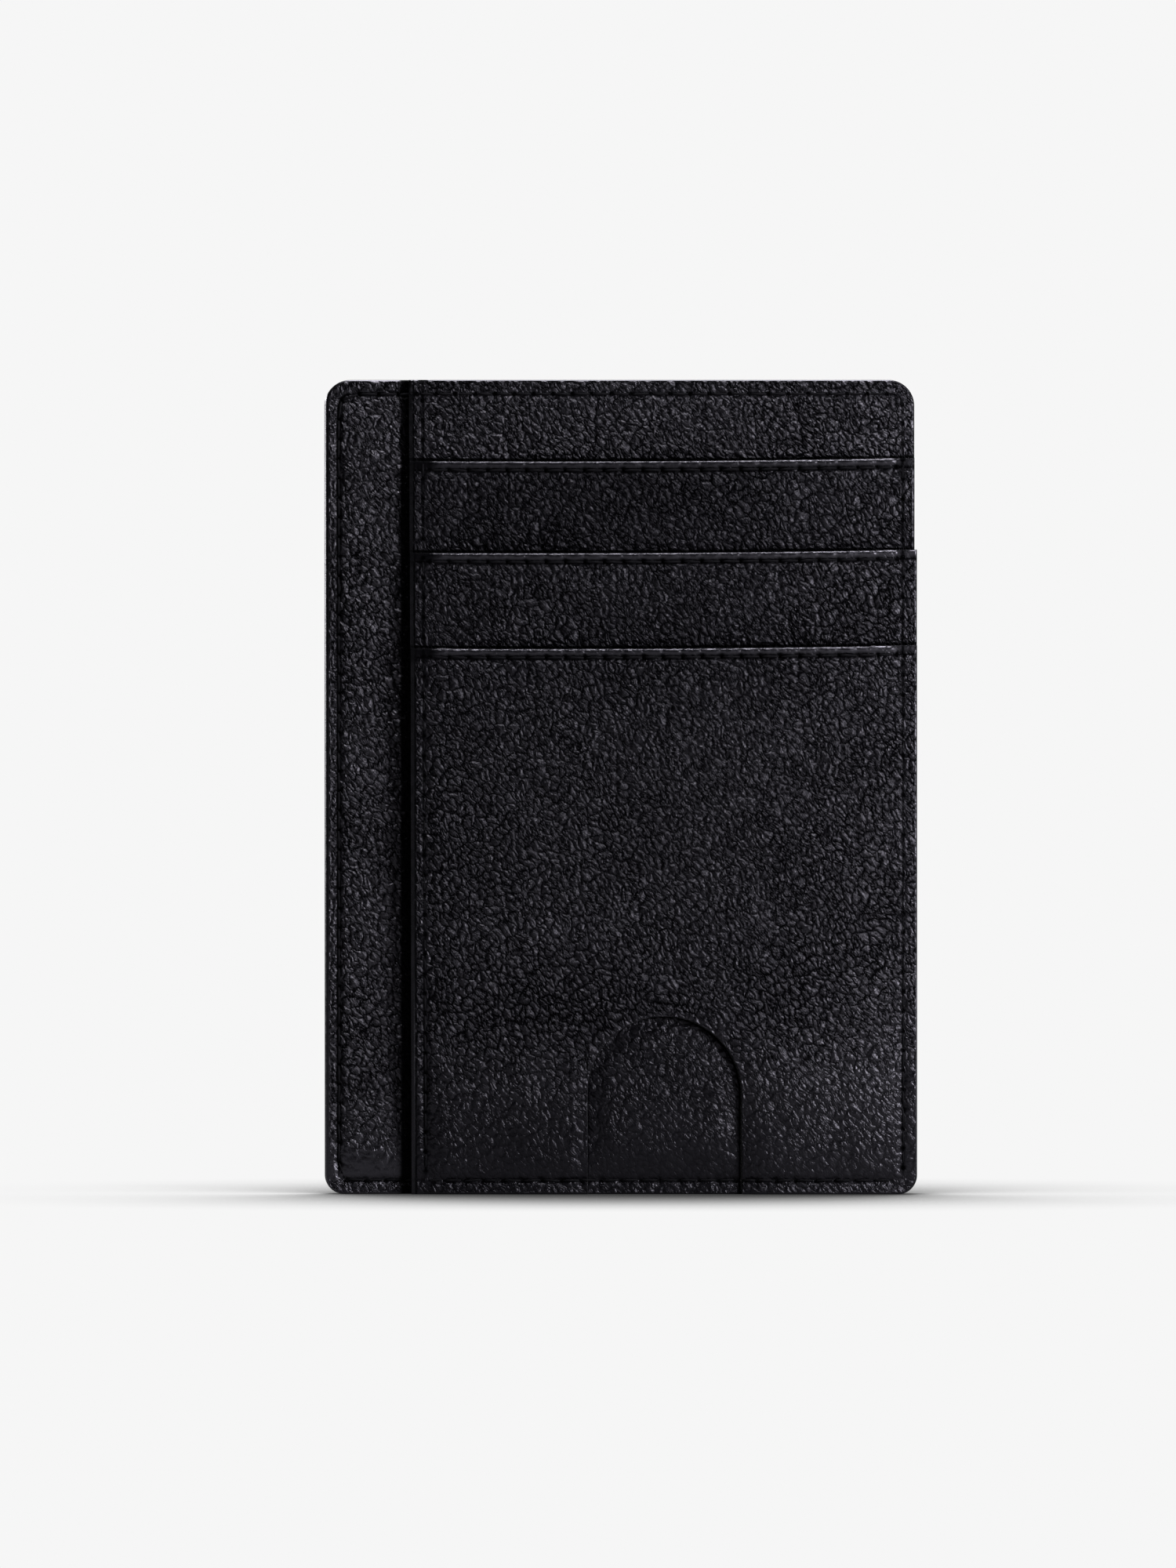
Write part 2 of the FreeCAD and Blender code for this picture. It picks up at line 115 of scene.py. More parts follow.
def fractal(x, z, size, seed, octaves=3):
    """Noise of several sizes, between -1 and 1."""
    total = sum(noise(x, z, size / 2 ** k, seed + 17 * k) / 2 ** k for k in range(octaves))
    return total / (2 - 2 ** (1 - octaves))


def smooth(low, high, v):
    """A smooth step from 0 at low to 1 at high. high may be the smaller of the two."""
    t = np.clip((v - low) / (high - low), 0, 1)
    return t * t * (3 - 2 * t)


# ---------------- nodes
def feed(tree, node, inputs):
    """Gives each of a node's sockets a number or vector, or links an output to it."""
    for key, value in inputs.items():
        if isinstance(value, bpy.types.NodeSocket):
            tree.links.new(value, node.inputs[key])
        else:
            node.inputs[key].default_value = value


def add(tree, kind, inputs=None, **settings):
    node = tree.nodes.new(kind)
    for key, value in settings.items():
        setattr(node, key, value)
    feed(tree, node, inputs or {})
    return node


def calc(tree, operation, *values):
    return add(tree, "ShaderNodeMath", dict(enumerate(values)), operation=operation).outputs[0]


def vector_calc(tree, operation, *values):
    node = add(tree, "ShaderNodeVectorMath", dict(enumerate(values)), operation=operation)
    return node.outputs["Value" if operation == "DOT_PRODUCT" else "Vector"]


def remap(tree, value, low, high, to_low=0.0, to_high=1.0):
    """A smooth step from to_low to to_high as the value goes from low to high."""
    inputs = dict(enumerate((value, low, high, to_low, to_high)))
    return add(tree, "ShaderNodeMapRange", inputs, interpolation_type="SMOOTHSTEP").outputs[0]


def noise_node(tree, where, scale, detail=3.0, roughness=0.55, dimensions="3D"):
    inputs = {"Vector": where, "Scale": scale, "Detail": detail, "Roughness": roughness}
    return add(tree, "ShaderNodeTexNoise", inputs, noise_dimensions=dimensions).outputs


def flat_noise(tree, where, scale, detail=2.0, roughness=0.5):
    return noise_node(tree, where, scale, detail, roughness, "2D")["Fac"]


# ---------------- grain
# The same nodes give the leather's grain to its shader and, through a geometry node group,
# to the mesh code. So the creases that the shader draws lie on the creases of the mesh.
PEBBLE = 1.04  # mm across a pebble
WRINKLE = 0.44  # mm between the fine wrinkles that cover the pebbles
GRAIN_ANGLE = 52.0  # degrees below level of the line along which both are stretched
DOME = 0.42  # from a crease to the top of a pebble, in pebbles


def warped(tree, where, scale, reach):
    """Pushes points about by noise, by up to roughly a quarter of reach."""
    push = noise_node(tree, where, scale, 1.0, 0.5, "2D")["Color"]
    push = vector_calc(tree, "SUBTRACT", push, (0.5, 0.5, 0.5))
    push = vector_calc(tree, "MULTIPLY", push, (reach, reach, 0.0))
    return vector_calc(tree, "ADD", where, push)


def cell_space(tree, where, pitch, stretch):
    """Coordinates in which cells are one across. The cells are stretched along a line that
    falls to the right."""
    inputs = {"Vector": where, "Angle": math.radians(GRAIN_ANGLE)}
    turned = add(tree, "ShaderNodeVectorRotate", inputs, rotation_type="Z_AXIS").outputs[0]
    scale = (1 / (pitch * stretch), math.sqrt(stretch) / pitch, 0.0)
    return vector_calc(tree, "MULTIPLY", turned, scale)


def voronoi(tree, space, feature):
    inputs = {"Vector": space, "Scale": 1.0, "Randomness": 0.9}
    node = add(tree, "ShaderNodeTexVoronoi", inputs, voronoi_dimensions="2D", feature=feature)
    return node.outputs


def pebble_space(tree, where):
    """Cell coordinates of the pebbles at where, a place in mm on the skin."""
    bent = warped(tree, warped(tree, where, 0.16, 1.8), 0.95, 0.85)
    return cell_space(tree, bent, PEBBLE, 1.45)


def edge_distance(tree, space):
    """Distance to the nearest crease between cells, in cells."""
    return voronoi(tree, space, "DISTANCE_TO_EDGE")["Distance"]


def pebble_tilt(tree, space):
    """A height that slopes each pebble its own way, from about -0.3 to 0.3."""
    cell = voronoi(tree, space, "F1")
    way = vector_calc(tree, "SUBTRACT", cell["Color"], (0.5, 0.5, 0.5))
    offset = vector_calc(tree, "SUBTRACT", space, cell["Position"])
    return vector_calc(tree, "DOT_PRODUCT", way, offset)


def build_sampler():
    """A geometry node group that stores the swelling of the pebbles at each vertex, whose
    position is its place in mm on the skin."""
    group = bpy.data.node_groups.new("grain_sampler", "GeometryNodeTree")
    for way in ("INPUT", "OUTPUT"):
        group.interface.new_socket("Geometry", in_out=way, socket_type="NodeSocketGeometry")
    place = add(group, "GeometryNodeInputPosition").outputs[0]
    edge = edge_distance(group, pebble_space(group, place))
    inputs = {"Geometry": add(group, "NodeGroupInput").outputs[0], "Name": "dome",
              "Value": remap(group, edge, 0.0, DOME)}
    store = add(group, "GeometryNodeStoreNamedAttribute", inputs, data_type="FLOAT",
                domain="POINT")
    add(group, "NodeGroupOutput", {0: store.outputs[0]})
    return group


SAMPLER = build_sampler()


def sample_pebbles(u, v):
    """The swelling of the pebbles, from 0 between them to 1 on top, at places on the skin."""
    mesh = bpy.data.meshes.new("skin_samples")
    mesh.vertices.add(u.size)
    places = np.stack([u.ravel(), v.ravel(), np.zeros(u.size)], axis=1)
    mesh.vertices.foreach_set("co", places.astype(np.float32).ravel())
    holder = show("skin_samples", mesh)
    holder.modifiers.new("grain", "NODES").node_group = SAMPLER
    sampled = holder.evaluated_get(bpy.context.evaluated_depsgraph_get()).data
    dome = np.empty(u.size, dtype=np.float32)
    sampled.attributes["dome"].data.foreach_get("value", dome)
    bpy.data.objects.remove(holder)
    bpy.data.meshes.remove(mesh)
    return dome.reshape(u.shape).astype(float)


# ---------------- outline and seams
def rim(x, z, right):
    """Distance inwards from the rounded outline."""
    dx = np.minimum(x - LEFT, right - x)
    dz = np.minimum(z, HEIGHT - z)
    r = np.where(z > HEIGHT / 2, TOP_RADIUS, BOTTOM_RADIUS)
    corner = (dx < r) & (dz < r)
    return np.where(corner, r - np.hypot(r - dx, r - dz), np.minimum(dx, dz))


def notch_gap(x, z):
    """Distance outwards from the thumb notch's edge."""
    dx = np.abs(x - NOTCH_X)
    dz = np.maximum(z - NOTCH_CENTRE, 0)
    return np.hypot(dx, dz) - NOTCH_RADIUS


def seam_path():
    """Points along the perimeter seam, clockwise from the top right."""
    points = []
    corners = [(RIGHT, HEIGHT, TOP_RADIUS, 90), (RIGHT, 0, BOTTOM_RADIUS, 0),
               (LEFT, 0, BOTTOM_RADIUS, -90), (LEFT, HEIGHT, TOP_RADIUS, 180)]
    for cx, cz, r, start in corners:
        turn = r - SEAM_INSET + 0.5
        mx = cx - math.copysign(SEAM_INSET + turn, cx)
        mz = cz - math.copysign(SEAM_INSET + turn, cz - HEIGHT / 2)
        for angle in np.linspace(start, start - 90, 13):
            a = math.radians(angle)
            points.append((mx + turn * math.cos(a), mz + turn * math.sin(a)))
    return points + points[:1]


def spaced(points):
    """Holes (x, z) about PITCH apart along a polyline, at even distances."""
    p = np.array(points)
    steps = np.hypot(*np.diff(p, axis=0).T)
    run = np.concatenate([[0], np.cumsum(steps)])
    count = round(run[-1] / PITCH)
    at = np.linspace(0, run[-1], count + 1)
    return np.stack([np.interp(at, run, p[:, 0]), np.interp(at, run, p[:, 1])], axis=1)


SLOT_EDGES = {"top": TOP[1][2], "middle": MIDDLE[1][2], "pocket": POCKET[1][2]}
PERIMETER_HOLES = spaced(seam_path())
HEM_HOLES = spaced([(HEM_X, HEIGHT - SEAM_INSET - 0.9), (HEM_X + HEM_SLANT, SEAM_INSET + 1.2)])


def edge_sag(x):
    """How the slot edges stray from level: a slight dip left of the middle and a rise at the
    right end."""
    t = (x - STACK_LEFT) / (RIGHT - STACK_LEFT)
    return 0.1 - 0.45 * t * (1 - t) + 0.42 * t ** 2


def row_holes(edge):
    """Holes of the seam under a slot's edge."""
    x = np.linspace(HEM_X + 0.9, RIGHT - SEAM_INSET - 0.8, 40)
    return spaced(np.stack([x, edge - EDGE_SEAM_DROP + edge_sag(x)], axis=1))


ROW_HOLES = {name: row_holes(z) for name, z in SLOT_EDGES.items()}


# ---------------- panels
class Panel:
    """One leather of the holder.

    back_points are the heights and outs of the surface behind it, and right is the side that its
    corners are rounded to. The scale of its shine beside that of the plain leather is painted
    light, set for how brightly the panel is lit."""

    def __init__(self, box, thickness, back_points, seed, right, painted_sheen=1.0, left=None):
        self.x0 = box[0][0] if left is None else left
        self.x1 = box[1][0]
        self.z0, self.z1 = box[0][2], box[1][2]
        self.thickness = thickness
        self.back_points = back_points
        self.seed = seed
        self.right = right
        self.painted_sheen = painted_sheen

    def back(self, z):
        heights, outs = zip(*self.back_points)
        return np.interp(z, heights, outs)

    def level(self, x, z):
        """The face before seams and grain."""
        return self.back(z) + self.thickness


def upright(out):
    """Back surface of an upright leather."""
    return [(0, out), (HEIGHT, out)]


def slanted(box):
    """Back surface of a slot leather, which leans outwards to its upper edge."""
    return [(box[0][2], -box[1][1]), (box[1][2], -box[0][1] - SLOT_LEATHER)]


SLOT_LEATHER = 0.85
COVER_LEATHER = 1.0
FACING_LEATHER = 0.7
STRIP_LEATHER = 0.6

FACING_BACK = [(0, -FACING[1][1]), (9, -0.03), (22, 0.24), (34, -FACING[0][1] - FACING_LEATHER)]
POCKET_BACK = [(0, -FACING[1][1] + 0.9), (9, 1.02), (22, 1.39), (34, 1.62), (69.5, 1.62),
               (POCKET[1][2], -POCKET[0][1] - COVER_LEATHER)]

# The shine scale of each panel is painted light, set for how brightly it is lit.
strip = Panel(STRIP, STRIP_LEATHER, upright(-STRIP[1][1]), 83, RIGHT, painted_sheen=1.6)
header = Panel(HEADER, SLOT_LEATHER, upright(-HEADER[1][1]), 11, TRIMMED_RIGHT, painted_sheen=1.27,
               left=STACK_LEFT - 0.1)
top = Panel(TOP, SLOT_LEATHER, slanted(TOP), 23, TRIMMED_RIGHT, painted_sheen=0.74,
            left=STACK_LEFT - 0.05)
middle = Panel(MIDDLE, SLOT_LEATHER, slanted(MIDDLE), 37, RIGHT, painted_sheen=0.9)
pocket = Panel(POCKET, COVER_LEATHER, POCKET_BACK, 51, RIGHT, left=STACK_LEFT + 0.1)
facing = Panel(FACING, FACING_LEATHER, FACING_BACK, 67, TRIMMED_RIGHT, painted_sheen=0.76)
# The back cover is made facing forwards, on the outer side of the holder's back.
cover = Panel(COVER, COVER_LEATHER, upright(COVER[1][1] - COVER_LEATHER), 97, TRIMMED_RIGHT)


def crown(x, fall):
    """How far a panel of the stack falls back from its middle towards its sides."""
    return fall * ((x - NOTCH_X) / (RIGHT - NOTCH_X)) ** 2


def pocket_level(x, z):
    """The front pocket's face: full in the middle, drawn in towards the seams."""
    heights = [0, 2.2, 5, 9, 14, 20, 34, 69.5, 73.6]
    outs = [1.45, 1.56, 1.88, 2.20, 2.42, 2.54, 2.62, 2.62, 2.8]
    shifts = (0, -1.2, -0.6, 0.6, 1.2)
    level = sum(np.interp(z + shift, heights, outs) for shift in shifts) / len(shifts)
    right_fall = 0.30 * smooth(9, 0, RIGHT - x) ** 1.6
    left_fall = 0.30 * smooth(5, 0, x - STACK_LEFT)
    return level - right_fall - left_fall - crown(x, 0.55)


def slot_level(panel, next_edge):
    """The face of a panel whose foot dips behind the next panel's edge."""
    def level(x, z):
        flat = panel.back(z) + panel.thickness - 0.2 * smooth(8, 0, RIGHT - x) ** 1.6
        foot = 0.22 * smooth(next_edge + 1.6, next_edge, z)
        foot = foot + 0.3 * np.clip((panel.z1 - 1 - z) / (panel.z1 - 1 - next_edge), 0, 1)
        side = 0.2 * smooth(5, 0, x - STACK_LEFT)
        return flat - foot - (side + crown(x, 0.42)) * smooth(112, 99, z)
    return level


def header_level(x, z):
    """The header's face, which also leans back towards its upper edge."""
    return slot_level(header, top.z1)(x, z) - 0.45 * (z - top.z1) / (HEIGHT - top.z1)


def strip_level(x, z):
    """The strip's face: a low arch across its open part."""
    open_part = smooth(STACK_LEFT + 0.2, STACK_LEFT - 2.5, x)
    arch = np.sin(np.clip((x - LEFT) / (STACK_LEFT - LEFT), 0, 1) * math.pi)
    return strip.back(z) + STRIP_LEATHER + 0.22 * open_part * arch


strip.level = strip_level
header.level = header_level
top.level = slot_level(top, middle.z1)
middle.level = slot_level(middle, pocket.z1)
pocket.level = pocket_level


# ---------------- a leather's face
PEBBLE_DEPTH = 0.155  # from the top of a pebble to the crease beside it
GROOVE_DEPTH = 0.28  # of a seam's groove, and of the wider hollow around it
GROOVE_WIDTH = 0.34
HOLLOW_DEPTH = 0.16
HOLLOW_WIDTH = 1.0
DENT_DEPTH = 0.42  # of the round dent at each hole
DENT_RADIUS = 0.4
PUCKER_HEIGHT = 0.06  # of the swelling between two holes
PUCKER_RADIUS = 0.85
PLEAT_DEPTH = 0.08  # of the pleats above a slot seam
PLEAT_WIDTH = 0.24
RIGHT_SIDE_LIGHT = 0.58  # painted light: how much the shine rises towards the right side, where more light falls


def bell(gap, width):
    """1 on a line, falling off smoothly at a distance from it."""
    return np.exp(-(gap / width) ** 2)


def dimples(x, z, holes):
    """The round dents where the thread goes in, from 0 to 1."""
    dent = np.zeros(x.shape)
    for hx, hz in holes:
        near = (np.abs(x - hx) < 3 * DENT_RADIUS) & (np.abs(z - hz) < 3 * DENT_RADIUS)
        if near.any():
            distance = np.hypot(x[near] - hx, z[near] - hz)
            dent[near] = np.maximum(dent[near], bell(distance, DENT_RADIUS))
    return dent


def pucker(x, z, holes):
    """Height of the small swellings of the leather between neighbouring holes."""
    swell = np.zeros(x.shape)
    for mx, mz in (holes[:-1] + holes[1:]) / 2:
        near = (np.abs(x - mx) < 3 * PUCKER_RADIUS) & (np.abs(z - mz) < 3 * PUCKER_RADIUS)
        if near.any():
            distance = np.hypot(x[near] - mx, z[near] - mz)
            swell[near] += PUCKER_HEIGHT * bell(distance, PUCKER_RADIUS)
    return swell


def rounding(gap, radius):
    """How far a surface drops near an edge that is rounded to a radius."""
    g = np.clip(gap, 0, radius)
    return radius - np.sqrt(radius ** 2 - (radius - g) ** 2)


def pleats(x, gap, holes):
    """Small pleats that the thread pulls into a folded edge, one above each hole."""
    pitch = holes[1][0] - holes[0][0]
    phase = (x - holes[0][0]) / pitch
    off = np.abs(phase - np.round(phase)) * pitch
    return PLEAT_DEPTH * bell(off, PLEAT_WIDTH) * smooth(EDGE_SEAM_DROP + 0.3, 0.5, gap)


def face(panel, x, z, seams, edges, fine, quiet, painted_shade=0.0):
    """A panel's finished face at places (x, z), and the values that its shader reads there.

    seams is a list of (distance to the seam, holes). edges is a list of (distance to the
    edge, radius, width of the painted band). fine, from 0 to 1, softens the creases between
    the pebbles, quiet, from 0 to 1, flattens the grain, and the last argument is painted
    shade, 1 where little light reaches the leather, which darkens its colour and its shine."""
    unevenness = (0.03 * fractal(x, z, 9.0, panel.seed + 3)
                  + 0.02 * fractal(x, z, 3.2, panel.seed + 4))
    near_edge = np.min([gap for gap, _, _ in edges], axis=0)
    out = panel.level(x, z) + unevenness * smooth(0, 2.5, near_edge)
    for gap, holes in seams:
        dent = dimples(x, z, holes)
        out = out - GROOVE_DEPTH * bell(gap, GROOVE_WIDTH) - HOLLOW_DEPTH * bell(gap, HOLLOW_WIDTH)
        out = out - DENT_DEPTH * dent + pucker(x, z, holes)
        # Painted shade in the seam's groove and its holes, halved near the bottom.
        painted_seam_shade = np.maximum(np.clip(1.2 * dent, 0, 1), 0.8 * bell(gap, 0.28))
        painted_shade = np.maximum(painted_shade, painted_seam_shade * (1 - 0.5 * smooth(3.5, 2.5, z)))
        quiet = np.maximum(quiet, 0.5 * bell(gap, 0.4))
    paint = np.max([smooth(band, 0.6 * band, gap) for gap, _, band in edges], axis=0)
    quiet = np.clip(np.maximum(quiet, paint), 0, 1)
    relief = (1 - quiet) * (0.93 + 0.14 * noise(x, z, 12.0, panel.seed + 9))
    # Each panel is cut from its own place in the skin.
    u, v = x + 7.3 * panel.seed, z + 3.1 * panel.seed
    out = out - PEBBLE_DEPTH * (1 - sample_pebbles(u, v)) * relief
    for gap, radius, _ in edges:
        out = out - rounding(gap, radius)
    # Painted light on the reflections: the panel's shine scale, rising towards the right side.
    painted_sheen = panel.painted_sheen * (1 + RIGHT_SIDE_LIGHT * smooth(10, 34, x))
    return out, {"skin_u": u, "skin_v": v, "fine": fine, "relief": relief, "paint": paint,
                 "painted_shade": painted_shade, "painted_sheen": painted_sheen}


# ---------------- lattices
FINEST = 0.01  # first interval at a fine end of a lattice
BACK_STEP = 4  # intervals of the face for each one of the coarser back


def lines(low, high, step, fine_low=False, fine_high=False):
    """Positions from low to high, step apart, closing up quadratically towards a fine end.
    The number of intervals is a multiple of BACK_STEP."""
    ramp = []
    k = 1
    while FINEST * (2 * k - 1) < step:
        ramp.append(FINEST * k * k)
        k += 1
    head = [low] + ([low + r for r in ramp] if fine_low else [])
    tail = ([high - r for r in reversed(ramp)] if fine_high else []) + [high]
    have = len(head) + len(tail) - 2
    count = max(1, round((tail[0] - head[-1]) / step))
    count += -(count + have) % BACK_STEP
    even = np.linspace(head[-1], tail[0], count + 1)
    return np.concatenate([head[:-1], even, tail[1:]])


def lattice(xs, zs):
    """Places x and z at the points of a lattice, and its cells, all marked as leather."""
    x, z = np.meshgrid(xs, zs, indexing="ij")
    return x, z, np.ones((len(xs) - 1, len(zs) - 1), dtype=bool)


def rounded(x, z, right, at_left, at_right):
    """Draws a rectangular lattice in at the outline's rounded corners."""
    dz = np.minimum(z, HEIGHT - z)
    r = np.where(z > HEIGHT / 2, TOP_RADIUS, BOTTOM_RADIUS)
    inset = np.where(dz < r, r - np.sqrt(np.maximum(r ** 2 - (r - dz) ** 2, 0)), 0)
    reach = 2.4 * r
    if at_right:
        x = x - inset * np.clip(1 - (right - x) / reach, 0, 1)
    if at_left:
        x = x + inset * np.clip(1 - (x - LEFT) / reach, 0, 1)
    return x


def lean(x, z):
    """The holder isn't quite square: its upright lines lean, to the left at the top and to the
    right at the bottom, most in the middle and hardly at the sides."""
    return x + LEAN * (0.5 - z / HEIGHT) * smooth(50, -5, np.abs(x))


# ---------------- slabs of leather
def make_mesh(name, points, faces, attributes, material):
    mesh = bpy.data.meshes.new(name)
    mesh.from_pydata((np.asarray(points) * MM).tolist(), [], faces)
    mesh.update()
    for key, values in attributes.items():
        layer = mesh.attributes.new(key, "FLOAT", "POINT")
        layer.data.foreach_set("value", np.asarray(values, dtype=np.float32))
    mesh.polygons.foreach_set("use_smooth", np.ones(len(mesh.polygons), dtype=bool))
    mesh.materials.append(material)
    return show(name, mesh)


class Skin:
    """The points of a slab in the making, with the face's values at each."""

    def __init__(self, values):
        self.values = values
        self.points = []
        self.kept = {key: [] for key in values}
        self.count = 0

    def add(self, x, out, z, at, matt_shade=0.0):
        """Adds points that take the values of the lattice points at, with at least the given
        painted shade, which dulls them, and returns their numbers."""
        self.points.append(np.stack([x, -out, z], axis=1))
        for key, lattice_values in self.values.items():
            self.kept[key].append(lattice_values[at])
        self.kept["painted_shade"][-1] = np.maximum(self.kept["painted_shade"][-1], matt_shade)
        self.count += len(x)
        return np.arange(self.count - len(x), self.count)


def rim_edges(active):
    """The boundary of the cells that hold leather, as directed edges with the leather on
    their left."""
    padded = np.pad(active, 1)
    rims = []
    for a, b in zip(*np.nonzero(active)):
        if not padded[a + 1, b]:
            rims.append(((a, b), (a + 1, b)))
        if not padded[a + 2, b + 1]:
            rims.append(((a + 1, b), (a + 1, b + 1)))
        if not padded[a + 1, b + 2]:
            rims.append(((a + 1, b + 1), (a, b + 1)))
        if not padded[a, b + 1]:
            rims.append(((a, b + 1), (a, b)))
    return rims


def rim_normals(rims, x, z):
    """The boundary's points, and the outward direction at each."""
    normals = {}
    for p, q in rims:
        dx, dz = x[q] - x[p], z[q] - z[p]
        length = math.hypot(dx, dz) or 1.0
        for end in (p, q):
            old = normals.get(end, (0.0, 0.0))
            normals[end] = (old[0] + dz / length, old[1] - dx / length)
    outward = np.array(list(normals.values()))
    outward /= np.maximum(np.hypot(outward[:, 0], outward[:, 1])[:, None], 1e-9)
    return list(normals), outward


def back_faces(active, rim_points, number_of):
    """The back's polygons. The outermost take in every point of the boundary."""
    faces = []
    for a in range(0, active.shape[0], BACK_STEP):
        for b in range(0, active.shape[1], BACK_STEP):
            if not active[a, b]:
                continue
            c, d = a + BACK_STEP, b + BACK_STEP
            polygon = []
            for (sa, sb), (ta, tb) in (((a, d), (c, d)), ((c, d), (c, b)),
                                       ((c, b), (a, b)), ((a, b), (a, d))):
                between = [(sa + (ta - sa) * k // BACK_STEP, sb + (tb - sb) * k // BACK_STEP)
                           for k in range(1, BACK_STEP)]
                polygon.append(number_of((sa, sb)))
                if between[0] in rim_points and between[1] in rim_points:
                    polygon += [number_of(p) for p in between]
            faces.append(polygon)
    return faces


def leather_slab(name, x, z, out, back, values, active, fold_top=False, sign=1):
    """A closed sheet of leather from lattices of its face.

    x, z, out and back are (columns, rows) arrays, values the face's values and active the
    lattice cells that hold leather. sign is -1 for a piece whose face is towards the back."""
    skin = Skin(values)
    used = np.zeros(x.shape, dtype=bool)
    for corner in (used[:-1, :-1], used[1:, :-1], used[:-1, 1:], used[1:, 1:]):
        corner |= active
    ids = -np.ones(x.shape, dtype=np.int64)
    ids[used] = skin.add(x[used], sign * out[used], z[used], used)
    i, j = np.nonzero(active)
    quads = np.stack([ids[i, j], ids[i + 1, j], ids[i + 1, j + 1], ids[i, j + 1]], axis=1)
    faces = quads.tolist()

    # The cut or folded edge is a quarter of a round. Past its first ring it is matt: it takes
    # painted shade, which cuts its shine.
    rims = rim_edges(active)
    rim_points, outward = rim_normals(rims, x, z)
    index = {p: k for k, p in enumerate(rim_points)}
    at = tuple(np.array(rim_points).T)
    tuck = np.where((outward[:, 1] > 0.7) & fold_top, 0.4, 0.1)
    rings = [ids[at]]
    for angle, matt_shade in ((30, 0.0), (60, 0.72), (90, 0.72)):
        drawn_in = tuck * (1 - math.cos(math.radians(angle)))
        sunk = (back[at] - out[at]) * math.sin(math.radians(angle))
        rings.append(skin.add(x[at] - outward[:, 0] * drawn_in, sign * (out[at] + sunk),
                              z[at] - outward[:, 1] * drawn_in, at, matt_shade))
    for upper, lower in zip(rings, rings[1:]):
        for p, q in rims:
            a, b = index[p], index[q]
            faces.append([upper[b], upper[a], lower[a], lower[b]])

    numbers = dict(zip(rim_points, rings[-1].tolist()))

    def number_of(p):
        """The number of the back's point at a lattice point."""
        if p not in numbers:
            here = ([p[0]], [p[1]])
            numbers[p] = int(skin.add(x[here], sign * back[here], z[here], here)[0])
        return numbers[p]

    faces += back_faces(active, index, number_of)
    if sign < 0:
        faces = [f[::-1] for f in faces]
    joined = {key: np.concatenate(kept) for key, kept in skin.kept.items()}
    return make_mesh(name, np.concatenate(skin.points), faces, joined, LEATHER)


# ---------------- materials
SPECULAR_TINT = (0.88, 0.84, 1.0, 1)


def finished_material(name, make_inputs):
    """A material whose shader takes the inputs that make_inputs(tree) gives."""
    material = bpy.data.materials.new(name)
    material.use_nodes = True
    tree = material.node_tree
    feed(tree, tree.nodes["Principled BSDF"], make_inputs(tree))
    return material


def ramp(tree, source, *stops):
    """Colours or greys along a value, from stops (value, colour or grey)."""
    node = add(tree, "ShaderNodeValToRGB", {0: source})
    elements = node.color_ramp.elements
    while len(elements) < len(stops):
        elements.new(0.5)
    for element, (position, colour) in zip(elements, stops):
        element.position = position
        element.color = (*(colour if isinstance(colour, tuple) else (colour,) * 3), 1)
    return node.outputs[0]


def coordinates(tree, scale=(1, 1, 1), angle=0.0):
    """Object coordinates turned about y, then scaled, to stretch a pattern."""
    inputs = {"Vector": add(tree, "ShaderNodeTexCoord").outputs["Object"],
              "Rotation": (0, math.radians(angle), 0), "Scale": scale}
    return add(tree, "ShaderNodeMapping", inputs).outputs["Vector"]


def bump(tree, height, distance, strength, under=None):
    """Bumps on a plain surface, or on top of the bumps under them."""
    inputs = {"Height": height, "Distance": distance, "Strength": strength}
    if under is not None:
        inputs["Normal"] = under
    return add(tree, "ShaderNodeBump", inputs).outputs["Normal"]


def attribute(tree, name):
    return add(tree, "ShaderNodeAttribute", attribute_name=name).outputs["Fac"]


